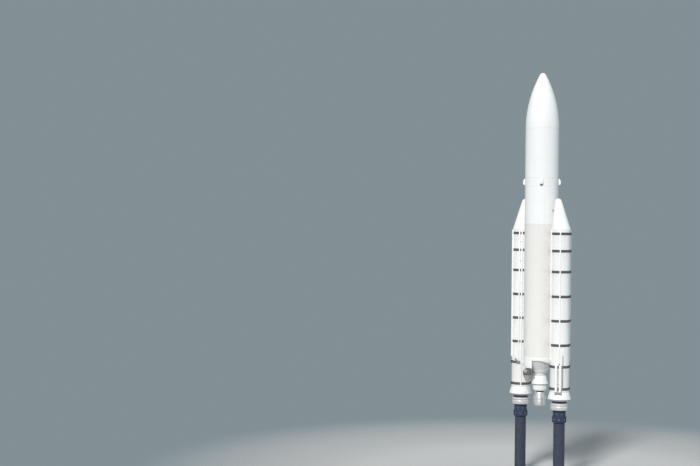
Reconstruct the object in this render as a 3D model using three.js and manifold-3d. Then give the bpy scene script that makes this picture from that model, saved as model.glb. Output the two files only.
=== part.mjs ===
// Outdoor display model of a heavy launch vehicle with two side boosters, at one fifth of full size,
// standing on two steel posts. Millimetres, +Z up. The origin is on the ground midway between the posts,
// and +X points to the right-hand booster. The left booster is the right one turned by half a turn.

import * as THREE from "three";
import { mergeVertices } from "three/addons/utils/BufferGeometryUtils.js";
import Module from "manifold-3d";

const wasm = await Module();
wasm.setup();

// Driving dimensions

const CORE_R = 540;
const BOOSTER_R = 305;
const BOOSTER_X = 905; // booster axis to core axis
const POST_R = 180;
const GAP = 0.3; // kept where a piece lies on a turned or cut face of its neighbour

const CORE_SIDES = 48;
const BOOSTER_SIDES = 32;
const ROUND_SIDES = 24;
const PIPE_SIDES = 10;
const TUBE_SIDES = 16;

// Heights above the ground
const TIP_Z = 13040;
const FAIRING_NOSE_Z = 11240;
const FAIRING_BASE_Z = 9640;
const BAY_BASE_Z = 9380;
const UPPER_BASE_Z = 8155;
const CORE_SEAM_Z = 6650;
const AFT_RING_Z = 3885;
const CORE_BASE_Z = 3773;
const BOOSTER_TIP_Z = 8980;
const BOOSTER_NOSE_Z = 8000;
const SKIRT_TOP_Z = 2820;
const SKIRT_BASE_Z = 2600;
const BOOSTER_NOZZLE_TOP_Z = 2465;
const BOOSTER_NOZZLE_BASE_Z = 2240;
const COLLAR_BASE_Z = 1855;
const FOOT_TOP_Z = 30;

// Noses
const FAIRING_TIP_R = 110;
const BOOSTER_TIP_R = 110;
const NOSE_LEAN = 0.145; // sideways shift of the booster's nose towards the core, per unit of height

// Bands round each booster
const BAND_HEIGHT = 86;
const BAND_DEPTH = 3.7;
const BAND_CENTRES_Z = [7857, 7308, 6646, 5860, 5087, 4315, 3632, 2930];
const BAND_OUTER_R = BOOSTER_R + GAP + BAND_DEPTH;
const ON_BAND_R = BAND_OUTER_R + GAP;

// Directions round an axis, in degrees from +X, on the right-hand booster
const RAIL_AT = -46.7; // the flat raceway and the steel rail under it
const SIDE_RACEWAYS_AT = [66, -114];
const SHORT_DUCT_AT = 122;
const LONG_DUCT_AT = 137;
const TUBES_AT = [-62.5, -41];
const FEED_PIPE_AT = -26;

const JUNCTION_TOP_Z = 3672;

// Gas sphere beside the engine
const SPHERE_R = 145;
const SPHERE_OUT = 468;
const SPHERE_AT = -103;
const SPHERE_Z = 3360;

const FINISH = {
  white: [0xf8f9f8, 0.45, 0],
  cream: [0xeeedea, 0.5, 0],
  band: [0x4a4c4e, 0.6, 0],
  lightGrey: [0xcfd0d2, 0.4, 0.1],
  grey: [0x9a9892, 0.6, 0.1],
  dark: [0x2b2d31, 0.7, 0],
  silver: [0xc4c6c8, 0.28, 0.9],
  blue: [0x2f3a55, 0.45, 0.1],
};

const degrees = Math.PI / 180;

const materials = {};
for (const [name, [color, roughness, metalness]] of Object.entries(FINISH)) {
  materials[name] = new THREE.MeshStandardMaterial({ color, roughness, metalness });
}

// Shapes

// Turns a profile of [radius, height] points, listed from the bottom up, about Z.
function turned(profile, sides) {
  const points = profile.map(([r, z]) => new THREE.Vector2(r, z));
  return new THREE.LatheGeometry(points, sides).rotateX(Math.PI / 2);
}

function cylinder(radius, bottom, top, sides) {
  return turned([[0, bottom], [radius, bottom], [radius, top], [0, top]], sides);
}

function hoop(inner, outer, bottom, top, sides) {
  return turned([[inner, bottom], [outer, bottom], [outer, top], [inner, top], [inner, bottom]], sides);
}

// A block that stands off the axis along +X: from near to far, width across, bottom to top.
function block(near, far, width, bottom, top) {
  const made = new THREE.BoxGeometry(far - near, width, top - bottom);
  return made.translate((near + far) / 2, 0, (bottom + top) / 2);
}

// A plate of an outline drawn in the upright plane through the axis, as [distance out, height] points.
function uprightPlate(outline, thickness) {
  const shape = new THREE.Shape(outline.map(([out, z]) => new THREE.Vector2(out, z)));
  const made = new THREE.ExtrudeGeometry(shape, { depth: thickness, bevelEnabled: false });
  return made.translate(0, 0, -thickness / 2).rotateX(Math.PI / 2);
}

// How far out a round piece's centre lies when it rests, with the usual gap, on a flat of a booster's band.
function restingOnBand(pieceRadius, direction) {
  const flat = 360 / BOOSTER_SIDES;
  const fromCorner = ((direction % flat) + flat) % flat;
  const toFlat = BAND_OUTER_R * Math.cos(Math.PI / BOOSTER_SIDES);
  return (toFlat + GAP + pieceRadius) / Math.cos((fromCorner - flat / 2) * degrees);
}

// A point at a distance out from the axis, in a direction and at a height.
function around(out, direction, z) {
  const angle = direction * degrees;
  return new THREE.Vector3(out * Math.cos(angle), out * Math.sin(angle), z);
}

// Lays a piece that was made along +Y, with its middle at the origin, between two points.
function laidBetween(geometry, from, to) {
  const along = to.clone().sub(from).normalize();
  const turn = new THREE.Quaternion().setFromUnitVectors(new THREE.Vector3(0, 1, 0), along);
  const middle = from.clone().add(to).multiplyScalar(0.5);
  return geometry.applyQuaternion(turn).translate(middle.x, middle.y, middle.z);
}

// Booleans

function toSolid(geometry) {
  const bare = new THREE.BufferGeometry();
  bare.setAttribute("position", geometry.getAttribute("position"));
  bare.setIndex(geometry.index);
  const merged = mergeVertices(bare, 1e-3);
  return new wasm.Manifold(
    new wasm.Mesh({
      numProp: 3,
      vertProperties: merged.attributes.position.array,
      triVerts: new Uint32Array(merged.index.array),
    }),
  );
}

function toGeometry(solid) {
  const mesh = solid.getMesh();
  const made = new THREE.BufferGeometry();
  made.setAttribute("position", new THREE.BufferAttribute(mesh.vertProperties, 3));
  made.setIndex(new THREE.BufferAttribute(mesh.triVerts, 1));
  made.computeVertexNormals();
  return made;
}

function join(...pieces) {
  return toGeometry(pieces.map(toSolid).reduce((whole, piece) => whole.add(piece)));
}

function cut(piece, ...tools) {
  return toGeometry(tools.map(toSolid).reduce((left, tool) => left.subtract(tool), toSolid(piece)));
}

function addPiece(group, name, geometry, finish) {
  const mesh = new THREE.Mesh(geometry, materials[finish]);
  mesh.name = name;
  group.add(mesh);
  return mesh;
}

// Core stack

// A pointed arch turned about Z: a flank arc upright at its foot, and a ball at its tip.
function ogive(foot, radius, height, tipRadius) {
  const FLANK_STEPS = 8;
  const BALL_STEPS = 3;
  const rise = height - tipRadius;
  const flank = (radius ** 2 + rise ** 2 - tipRadius ** 2) / (2 * (radius - tipRadius));
  const meeting = Math.atan2(rise, flank - radius);
  const profile = [[0, foot]];
  for (let i = 0; i <= FLANK_STEPS; i++) {
    const a = (meeting * i) / FLANK_STEPS;
    profile.push([radius - flank + flank * Math.cos(a), foot + flank * Math.sin(a)]);
  }
  for (let i = 1; i <= BALL_STEPS; i++) {
    const a = meeting + ((Math.PI / 2 - meeting) * i) / BALL_STEPS;
    profile.push([tipRadius * Math.cos(a), foot + rise + tipRadius * Math.sin(a)]);
  }
  return turned(profile, CORE_SIDES);
}

// name, bottom, top, finish
const CORE_SECTIONS = [
  ["fairing_barrel", FAIRING_BASE_Z, FAIRING_NOSE_Z, "white"],
  ["equipment_bay", BAY_BASE_Z, FAIRING_BASE_Z, "white"],
  ["upper_stage", UPPER_BASE_Z, BAY_BASE_Z, "white"],
  ["core_upper", CORE_SEAM_Z, UPPER_BASE_Z, "cream"],
  ["core_lower", AFT_RING_Z, CORE_SEAM_Z, "cream"],
];

// The ring at the core's foot, with a pointed apron hanging below it towards each booster.
function aftRing() {
  const APRON = { innerR: 512, outerR: 532, halfWidth: 365, depth: 101 };
  const BEYOND = 30; // how far the raw apron reaches into the ring above it
  const SPAN = 2 * CORE_R;
  const shape = new THREE.Shape();
  shape.moveTo(-APRON.halfWidth, CORE_BASE_Z);
  shape.lineTo(0, CORE_BASE_Z - APRON.depth);
  shape.lineTo(APRON.halfWidth, CORE_BASE_Z);
  shape.lineTo(APRON.halfWidth, CORE_BASE_Z + BEYOND);
  shape.lineTo(-APRON.halfWidth, CORE_BASE_Z + BEYOND);
  const wedge = new THREE.ExtrudeGeometry(shape, { depth: SPAN, bevelEnabled: false })
    .translate(0, 0, -SPAN / 2)
    .rotateX(Math.PI / 2)
    .rotateZ(Math.PI / 2);
  const wall = hoop(APRON.innerR, APRON.outerR, CORE_BASE_Z - SPAN, CORE_BASE_Z + SPAN, CORE_SIDES);
  const aprons = toGeometry(toSolid(wedge).intersect(toSolid(wall)));
  return join(cylinder(CORE_R, CORE_BASE_Z, AFT_RING_Z, CORE_SIDES), aprons);
}

function addCore(group) {
  const nose = ogive(FAIRING_NOSE_Z, CORE_R, TIP_Z - FAIRING_NOSE_Z, FAIRING_TIP_R);
  addPiece(group, "fairing_nose", nose, "white");
  for (const [name, bottom, top, finish] of CORE_SECTIONS) {
    addPiece(group, name, cylinder(CORE_R, bottom, top, CORE_SIDES), finish);
  }
  addPiece(group, "core_aft_ring", aftRing(), "white");
}

// Four small pods at the diagonals of the equipment bay.
function addPods(group) {
  const WIDTH = 97;
  const OUT = CORE_R + 65;
  const SUNK = CORE_R - 20; // the pod's raw block starts inside the bay and is cut to its wall
  const FOOT_Z = 9405;
  const TOP_Z = 9620;
  const SLANT = 32; // how far the underside rises towards its outer edge
  const outline = [
    [SUNK, FOOT_Z],
    [CORE_R, FOOT_Z],
    [OUT - 10, FOOT_Z + SLANT],
    [OUT, FOOT_Z + SLANT + 14],
    [OUT, TOP_Z - 65],
    [CORE_R + 22, TOP_Z],
    [SUNK, TOP_Z],
  ];
  const bayWall = cylinder(CORE_R + GAP, BAY_BASE_Z - 1, FAIRING_BASE_Z + 1, CORE_SIDES);
  const directions = [-45, 45, 135, -135];
  directions.forEach((direction, i) => {
    const raw = uprightPlate(outline, WIDTH).rotateZ(direction * degrees);
    addPiece(group, `pod_${i + 1}`, cut(raw, bayWall), "white");
  });
}

// Engine under the core

const CONE_FOOT_Z = 3350;
const FLARE_TOP_Z = 3262;
const SEAL_TOP_Z = 2992;
const DRUM_TOP_Z = 2942;
const DRUM_FOOT_Z = 2770;
const ENGINE_NOZZLE_TOP_Z = 2725;
const ENGINE_NOZZLE_SEAM_Z = 2512;
const ENGINE_NOZZLE_BASE_Z = 2300;

// [radius, height]
const THRUST_CONE = [
  [196, CONE_FOOT_Z],
  [228, 3385],
  [262, 3440],
  [330, 3530],
  [420, 3650],
  [508, CORE_BASE_Z],
];
const ENGINE_RING = [
  [165, FLARE_TOP_Z],
  [165, FLARE_TOP_Z + 16],
  [180, FLARE_TOP_Z + 16],
  [180, CONE_FOOT_Z],
];
const ENGINE_FLARE = [
  [265, SEAL_TOP_Z],
  [265, SEAL_TOP_Z + 18],
  [193, FLARE_TOP_Z],
];
const ENGINE_DRUM = [
  [190, DRUM_FOOT_Z],
  [212, DRUM_FOOT_Z + 20],
  [224, DRUM_FOOT_Z + 60],
  [228, DRUM_TOP_Z],
];
const ENGINE_NOZZLE = [
  [190, ENGINE_NOZZLE_BASE_Z],
  [196, ENGINE_NOZZLE_BASE_Z + 20],
  [194, 2410],
  [183, ENGINE_NOZZLE_SEAM_Z - 12],
  [188, ENGINE_NOZZLE_SEAM_Z - 8],
  [188, ENGINE_NOZZLE_SEAM_Z],
  [180, ENGINE_NOZZLE_SEAM_Z + 4],
  [165, 2610],
  [150, 2700],
  [140, ENGINE_NOZZLE_TOP_Z],
];

// A solid turned from a wall of [radius, height] points, made thicker all round by grow.
function fromWall(wall, sides, grow = 0) {
  const bottom = wall[0][1] - grow;
  const top = wall.at(-1)[1] + grow;
  const outer = wall.map(([r, z]) => [r + grow, z]);
  outer[0][1] = bottom;
  outer.at(-1)[1] = top;
  return turned([[0, bottom], ...outer, [0, top]], sides);
}

function addEngine(group) {
  addPiece(group, "thrust_cone", fromWall(THRUST_CONE, CORE_SIDES), "white");
  addPiece(group, "engine_ring", fromWall(ENGINE_RING, BOOSTER_SIDES), "white");
  addPiece(group, "engine_flare", fromWall(ENGINE_FLARE, BOOSTER_SIDES), "white");
  addPiece(group, "engine_seal", cylinder(235, DRUM_TOP_Z, SEAL_TOP_Z, BOOSTER_SIDES), "lightGrey");
  addPiece(group, "engine_drum", fromWall(ENGINE_DRUM, BOOSTER_SIDES), "white");
  addPiece(group, "engine_neck", cylinder(130, ENGINE_NOZZLE_TOP_Z, DRUM_FOOT_Z, BOOSTER_SIDES), "dark");
  addPiece(group, "engine_nozzle", fromWall(ENGINE_NOZZLE, BOOSTER_SIDES), "silver");
  addActuators(group);
  addHood(group);
  addSphere(group);
}

// Two slim rods, each from the drum's underside across the nozzle's flank to its seam.
function addActuators(group) {
  const RADIUS = 15;
  const upper = around(174, -80, DRUM_FOOT_Z + 30);
  const lower = around(196, -122, ENGINE_NOZZLE_SEAM_Z - 10);
  const drum = fromWall(ENGINE_DRUM, BOOSTER_SIDES, GAP);
  const nozzle = fromWall(ENGINE_NOZZLE, BOOSTER_SIDES, 2 * GAP);
  const length = upper.distanceTo(lower);
  [0, 180].forEach((direction, i) => {
    const raw = new THREE.CylinderGeometry(RADIUS, RADIUS, length, PIPE_SIDES);
    const rod = laidBetween(raw, upper, lower).rotateZ(direction * degrees);
    addPiece(group, `actuator_${i + 1}`, cut(rod, drum, nozzle), "silver");
  });
}

// A white curved panel that hangs below the aft ring over the gas sphere.
function addHood(group) {
  const INNER_R = 522;
  const OUTER_R = 535;
  const FROM = -133;
  const TO = -73;
  const FOOT_Z = 3527;
  const shape = new THREE.Shape();
  shape.absarc(0, 0, OUTER_R, FROM * degrees, TO * degrees, false);
  shape.absarc(0, 0, INNER_R, TO * degrees, FROM * degrees, true);
  const made = new THREE.ExtrudeGeometry(shape, {
    depth: CORE_BASE_Z - FOOT_Z,
    curveSegments: 10,
    bevelEnabled: false,
  });
  addPiece(group, "side_hood", made.translate(0, 0, FOOT_Z), "white");
}

// The gas sphere with its cap sits in a conical cradle, whose arm reaches to the engine's flare.
// A stout upright line stands on the arm and runs up into the thrust cone.
function addSphere(group) {
  const CRADLE = { foot: 3070, footR: 42, top: 3285, topR: 140 };
  const ARM = { near: 170, far: 420, width: 90, bottom: 3190, top: 3226 };
  const CAP = { r: 78, out: 113, at: -71, up: 43 };
  const LINE = { r: 36, out: 246, top: 3480 };
  const centre = around(SPHERE_OUT, SPHERE_AT, 0);
  const atSphere = (geometry) => geometry.translate(centre.x, centre.y, 0);
  const ball = (radius, height) => {
    const LATITUDES = 10;
    const profile = [];
    for (let i = 0; i <= LATITUDES; i++) {
      const a = (Math.PI * i) / LATITUDES - Math.PI / 2;
      profile.push([radius * Math.cos(a), height + radius * Math.sin(a)]);
    }
    return atSphere(turned(profile, ROUND_SIDES));
  };

  const capAt = around(CAP.out, CAP.at, 0);
  const cap = ball(CAP.r, SPHERE_Z + CAP.up).translate(capAt.x, capAt.y, 0);
  addPiece(group, "gas_sphere", join(ball(SPHERE_R, SPHERE_Z), cap), "grey");

  const coneWall = [
    [CRADLE.footR, CRADLE.foot],
    [CRADLE.topR, CRADLE.top],
  ];
  const cone = atSphere(fromWall(coneWall, ROUND_SIDES));
  const arm = block(ARM.near, ARM.far, ARM.width, ARM.bottom, ARM.top).rotateZ(SPHERE_AT * degrees);
  const flare = fromWall(ENGINE_FLARE, BOOSTER_SIDES, GAP);
  const cradle = cut(join(cone, arm), flare, ball(SPHERE_R + 2 * GAP, SPHERE_Z));
  addPiece(group, "sphere_cradle", cradle, "grey");

  const lineAt = around(LINE.out, SPHERE_AT, 0);
  const line = cylinder(LINE.r, ARM.top + GAP, LINE.top, ROUND_SIDES).translate(lineAt.x, lineAt.y, 0);
  addPiece(group, "sphere_line", cut(line, fromWall(THRUST_CONE, CORE_SIDES, GAP)), "lightGrey");
}

// Boosters

// A round-tipped cone, leaning towards the core so that its inner side stands almost upright.
function boosterNose(grow = 0) {
  const BALL_STEPS = 4;
  const rise = BOOSTER_TIP_Z - BOOSTER_NOSE_Z - BOOSTER_TIP_R;
  const toCentre = Math.hypot(BOOSTER_R, rise);
  const flankAngle = Math.atan2(BOOSTER_R, rise) - Math.asin(BOOSTER_TIP_R / toCentre);
  const profile = [[0, BOOSTER_NOSE_Z], [BOOSTER_R + grow, BOOSTER_NOSE_Z]];
  for (let i = 0; i <= BALL_STEPS; i++) {
    const a = flankAngle + ((Math.PI / 2 - flankAngle) * i) / BALL_STEPS;
    const r = BOOSTER_TIP_R + grow;
    profile.push([r * Math.cos(a), BOOSTER_NOSE_Z + rise + r * Math.sin(a)]);
  }
  const lean = new THREE.Matrix4().makeShear(0, 0, 0, 0, -NOSE_LEAN, 0);
  return turned(profile, BOOSTER_SIDES)
    .translate(0, 0, -BOOSTER_NOSE_Z)
    .applyMatrix4(lean)
    .translate(0, 0, BOOSTER_NOSE_Z);
}

// The dark bands, joined by the steel rail under the flat raceway.
function boosterBands() {
  const RAIL = { width: 30, depth: 2.2 };
  const inner = BOOSTER_R + GAP;
  const first = BAND_CENTRES_Z.at(-1);
  const last = BAND_CENTRES_Z[0];
  const hoops = BAND_CENTRES_Z.map((z) =>
    hoop(inner, BAND_OUTER_R, z - BAND_HEIGHT / 2, z + BAND_HEIGHT / 2, BOOSTER_SIDES),
  );
  const rail = block(inner, inner + RAIL.depth, RAIL.width, first, last).rotateZ(RAIL_AT * degrees);
  return join(rail, ...hoops);
}

// Closed channels that lie on the bands: a flat one over the rail and two deeper ones on opposite sides.
function raceways() {
  const TOP_Z = 7975;
  const flat = { at: RAIL_AT, width: 42, height: 18, bottom: 3745 };
  const deep = SIDE_RACEWAYS_AT.map((at) => ({ at, width: 46, height: 40, bottom: 3785 }));
  return [flat, ...deep].map(({ at, width, height, bottom }) =>
    block(ON_BAND_R, ON_BAND_R + height, width, bottom, TOP_Z).rotateZ(at * degrees),
  );
}

// Two thin ducts held side by side by clamps. The short one ends at the junction box, and the long one
// passes it with a cover plate at its side.
function ductPair() {
  const WIDTH = 42;
  const HEIGHT = 16;
  const TOP_Z = 7960;
  const FOOT_Z = 2890;
  const CLAMPS_Z = [4000, 4710, 5480, 6260, 6980, 7590];
  const CLAMP = { height: 30, depth: 6 };
  const COVER = { at: 145, width: 90, depth: 8, bottom: 3580, top: 3684 };
  const duct = (at, bottom) =>
    block(ON_BAND_R, ON_BAND_R + HEIGHT, WIDTH, bottom, TOP_Z).rotateZ(at * degrees);
  const middle = (SHORT_DUCT_AT + LONG_DUCT_AT) / 2;
  const clampWidth = 2 * ON_BAND_R * Math.sin(((LONG_DUCT_AT - SHORT_DUCT_AT) / 2) * degrees);
  const clamps = CLAMPS_Z.map((z) => {
    const bottom = z - CLAMP.height / 2;
    const made = block(ON_BAND_R, ON_BAND_R + CLAMP.depth, clampWidth, bottom, bottom + CLAMP.height);
    return made.rotateZ(middle * degrees);
  });
  const cover = block(ON_BAND_R, ON_BAND_R + COVER.depth, COVER.width, COVER.bottom, COVER.top);
  return join(
    duct(SHORT_DUCT_AT, JUNCTION_TOP_Z + GAP),
    duct(LONG_DUCT_AT, FOOT_Z),
    cover.rotateZ(COVER.at * degrees),
    ...clamps,
  );
}

// The junction box under the short duct, with a bar that slants up from its far end.
function junctionBox() {
  const BOX = { width: 118, depth: 30, bottom: 3588 };
  const BAR_SECTION = 26;
  const low = around(328, 117, JUNCTION_TOP_Z - BAR_SECTION / 2);
  const high = around(328, 100, JUNCTION_TOP_Z + 80);
  const box = block(ON_BAND_R, ON_BAND_R + BOX.depth, BOX.width, BOX.bottom, JUNCTION_TOP_Z);
  const bar = new THREE.BoxGeometry(BAR_SECTION, low.distanceTo(high), BAR_SECTION);
  return join(box.rotateZ(SHORT_DUCT_AT * degrees), laidBetween(bar, low, high));
}

// Two upright tubes with rounded ends, held together by two straps.
function tubePair() {
  const RADIUS = 42;
  const FOOT_Z = 2835;
  const TOP_Z = 3700;
  const STRAPS_Z = [3120, 3520];
  const END = { height: 26, narrowing: 16 };
  const STRAP = { height: 32, inner: 14, outer: 22 };
  const profile = [
    [0, FOOT_Z],
    [RADIUS - END.narrowing, FOOT_Z],
    [RADIUS, FOOT_Z + END.height],
    [RADIUS, TOP_Z - END.height],
    [RADIUS - END.narrowing, TOP_Z],
    [0, TOP_Z],
  ];
  const tubes = TUBES_AT.map((at) => {
    const place = around(restingOnBand(RADIUS, at), at, 0);
    return turned(profile, TUBE_SIDES).rotateZ(at * degrees).translate(place.x, place.y, 0);
  });
  const middle = (TUBES_AT[0] + TUBES_AT[1]) / 2;
  const reach = 2 * (ON_BAND_R + RADIUS) * Math.sin(((TUBES_AT[1] - TUBES_AT[0]) / 2) * degrees);
  const straps = STRAPS_Z.map((z) => {
    const bottom = z - STRAP.height / 2;
    const top = bottom + STRAP.height;
    const made = block(ON_BAND_R + STRAP.inner, ON_BAND_R + STRAP.outer, reach, bottom, top);
    return made.rotateZ(middle * degrees);
  });
  return join(...tubes, ...straps);
}

// A thin upright pipe that lies on the bands.
function feedPipe() {
  const RADIUS = 10;
  const FOOT_Z = 2890;
  const TOP_Z = 4000;
  const place = around(restingOnBand(RADIUS, FEED_PIPE_AT), FEED_PIPE_AT, 0);
  return cylinder(RADIUS, FOOT_Z, TOP_Z, PIPE_SIDES).translate(place.x, place.y, 0);
}

const CASE = [
  [BOOSTER_R, SKIRT_TOP_Z],
  [BOOSTER_R, BOOSTER_NOSE_Z],
];
const SKIRT = [
  [372, SKIRT_BASE_Z],
  [372, SKIRT_BASE_Z + 8],
  [310, SKIRT_TOP_Z],
];
const NECK = [
  [222, BOOSTER_NOZZLE_TOP_Z],
  [232, SKIRT_BASE_Z - 70],
  [306, SKIRT_BASE_Z],
];
const NOZZLE = [
  [258, BOOSTER_NOZZLE_BASE_Z],
  [276, BOOSTER_NOZZLE_BASE_Z + 16],
  [281, BOOSTER_NOZZLE_BASE_Z + 40],
  [281, 2345],
  [271, 2362],
  [264, 2375],
  [269, 2388],
  [279, 2402],
  [279, 2425],
  [262, 2448],
  [232, BOOSTER_NOZZLE_TOP_Z],
];

// name, finish, wall
const BOOSTER_TURNED = [
  ["case", "white", CASE],
  ["skirt", "white", SKIRT],
  ["neck", "grey", NECK],
  ["nozzle", "lightGrey", NOZZLE],
];

function addBooster(group, side) {
  const piece = (name, geometry, finish) => addPiece(group, `booster_${side}_${name}`, geometry, finish);
  piece("nose", boosterNose(), "white");
  for (const [name, finish, wall] of BOOSTER_TURNED) {
    piece(name, fromWall(wall, BOOSTER_SIDES), finish);
  }
  piece("bands", boosterBands(), "band");
  raceways().forEach((raceway, i) => piece(`raceway_${i + 1}`, raceway, "white"));
  piece("ducts", ductPair(), "white");
  piece("tubes", tubePair(), "white");
  piece("feed_pipe", feedPipe(), "grey");
  piece("bracket", junctionBox(), "grey");
}

// Struts between each booster and the core, in the booster's own frame, where the core lies along -X.
function addStruts(group, side) {
  const FORWARD = { near: -420, far: -180, width: 36, bottom: 8580, top: 8620 };
  const AFT = { near: -420, far: -250, width: 150, bottom: AFT_RING_Z - 96, top: AFT_RING_Z - 10 };
  const core = cylinder(CORE_R + GAP, AFT.bottom - CORE_R, FORWARD.top + CORE_R, CORE_SIDES);
  core.translate(-BOOSTER_X, 0, 0);
  const forward = block(FORWARD.near, FORWARD.far, FORWARD.width, FORWARD.bottom, FORWARD.top);
  const forwardStrut = cut(forward, core, boosterNose(2 * GAP));
  addPiece(group, `booster_${side}_forward_strut`, forwardStrut, "lightGrey");
  const aft = block(AFT.near, AFT.far, AFT.width, AFT.bottom, AFT.top);
  const wall = cylinder(BOOSTER_R + GAP, AFT.bottom - BOOSTER_R, AFT.top + BOOSTER_R, BOOSTER_SIDES);
  addPiece(group, `booster_${side}_aft_strut`, cut(aft, core, wall), "grey");
}

// Stand: a post under each booster's nozzle, with a bolted collar at its head and a flanged foot

const COLLAR = [
  [222, COLLAR_BASE_Z],
  [228, COLLAR_BASE_Z + 8],
  [228, 2028],
  [204, 2040],
  [204, 2184],
  [198, 2190],
  [198, BOOSTER_NOZZLE_BASE_Z],
];

function foot() {
  const PLATE = 600;
  const GUSSETS = 4;
  const GUSSET = { out: 285, height: 260, thickness: 16, nose: 30, sunk: 5 };
  const plate = new THREE.BoxGeometry(PLATE, PLATE, FOOT_TOP_Z).translate(0, 0, FOOT_TOP_Z / 2);
  const near = POST_R + GAP;
  const outline = [
    [near, FOOT_TOP_Z - GUSSET.sunk],
    [GUSSET.out, FOOT_TOP_Z - GUSSET.sunk],
    [GUSSET.out, FOOT_TOP_Z + GUSSET.nose],
    [near + GUSSET.nose, FOOT_TOP_Z + GUSSET.height],
    [near, FOOT_TOP_Z + GUSSET.height],
  ];
  const gussets = [];
  for (let i = 0; i < GUSSETS; i++) {
    gussets.push(uprightPlate(outline, GUSSET.thickness).rotateZ((i * 2 * Math.PI) / GUSSETS));
  }
  return join(plate, ...gussets);
}

function addStand(group, side) {
  addPiece(group, `collar_${side}`, fromWall(COLLAR, BOOSTER_SIDES), "blue");
  addPiece(group, `post_${side}`, cylinder(POST_R, FOOT_TOP_Z, COLLAR_BASE_Z, BOOSTER_SIDES), "blue");
  addPiece(group, `foot_${side}`, foot(), "blue");
}

// The whole model

const rocket = new THREE.Group();

const core = new THREE.Group();
addCore(core);
addPods(core);
addEngine(core);
rocket.add(core);

// side, turn about the core's axis in degrees
const SIDES = [
  ["right", 0],
  ["left", 180],
];

for (const [side, turn] of SIDES) {
  const booster = new THREE.Group();
  booster.position.copy(around(BOOSTER_X, turn, 0));
  booster.rotation.z = turn * degrees;
  addBooster(booster, side);
  addStruts(booster, side);
  addStand(booster, side);
  rocket.add(booster);
}

export default rocket;
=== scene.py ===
# Looks of the two-booster rocket display model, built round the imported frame. Metres, +Z up.
# Every visible piece is a fine mesh that stands for one node of the frame, or small trim that sits on one.
# The left booster and its stand are the right-hand ones turned by half a turn about the core.

import math

import bmesh
import bpy
from mathutils import Matrix, Vector


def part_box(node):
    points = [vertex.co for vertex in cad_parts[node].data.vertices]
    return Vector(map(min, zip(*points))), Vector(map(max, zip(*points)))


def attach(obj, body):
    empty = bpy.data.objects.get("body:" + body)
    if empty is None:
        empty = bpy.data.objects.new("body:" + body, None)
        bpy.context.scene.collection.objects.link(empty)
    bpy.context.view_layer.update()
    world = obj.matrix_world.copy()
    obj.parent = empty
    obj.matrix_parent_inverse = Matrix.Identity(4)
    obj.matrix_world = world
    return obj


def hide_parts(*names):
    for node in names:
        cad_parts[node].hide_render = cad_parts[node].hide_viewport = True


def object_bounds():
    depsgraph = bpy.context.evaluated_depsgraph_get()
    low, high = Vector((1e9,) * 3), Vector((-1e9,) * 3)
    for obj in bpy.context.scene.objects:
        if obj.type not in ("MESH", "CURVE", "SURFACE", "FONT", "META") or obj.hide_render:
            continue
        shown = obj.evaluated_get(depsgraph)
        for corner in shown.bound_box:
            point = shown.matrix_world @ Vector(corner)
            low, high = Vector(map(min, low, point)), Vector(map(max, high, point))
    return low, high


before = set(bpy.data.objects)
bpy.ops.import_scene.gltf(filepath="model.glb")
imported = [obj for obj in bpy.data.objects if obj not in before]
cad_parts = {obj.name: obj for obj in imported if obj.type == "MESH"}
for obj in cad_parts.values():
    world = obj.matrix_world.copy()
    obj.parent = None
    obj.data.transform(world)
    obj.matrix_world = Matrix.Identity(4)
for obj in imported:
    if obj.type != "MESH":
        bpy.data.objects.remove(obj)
cad_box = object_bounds()


# Sizes read from the frame


def span(node):
    low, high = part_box(node)
    return low.z, high.z


def half_width(node):
    low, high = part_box(node)
    return (high.x - low.x) / 2


def middle(node):
    low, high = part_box(node)
    return (low + high) / 2


CORE_R = half_width("core_lower")
BOOSTER_R = half_width("booster_right_case")
BOOSTER_X = middle("booster_right_case").x
BAND_R = half_width("booster_right_bands")
ON_BAND = BAND_R + 0.0003
POST_R = half_width("post_right")
NOSE_BASE, NOSE_TIP = span("booster_right_nose")
GROUND = cad_box[0].z

# Sizes of details
JOINT = 0.002  # chamfer at each end of a section, which leaves a fine groove at a joint
BAND_HEIGHT = 0.086
BAND_CENTRES = (7.857, 7.308, 6.646, 5.860, 5.087, 4.315, 3.632, 2.930)
NOSE_LEAN = 0.145  # sideways shift of the booster's nose towards the core, per metre of height
FAIRING_TIP_R = 0.110
BOOSTER_TIP_R = 0.110

# Directions round an axis, in degrees from +X, on the right-hand booster
RAIL_AT = -46.7
SIDE_RACEWAYS_AT = (66, -114)
SHORT_DUCT_AT = 122
LONG_DUCT_AT = 137
TUBES_AT = (-62.5, -41)
FEED_PIPE_AT = -26

# Gas sphere beside the engine
SPHERE_AT = -103
SPHERE_OUT = 0.468

CORE_SIDES = 144
BOOSTER_SIDES = 96
SMALL_SIDES = 48


# Parts: plain (vertices, faces) pairs


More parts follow.
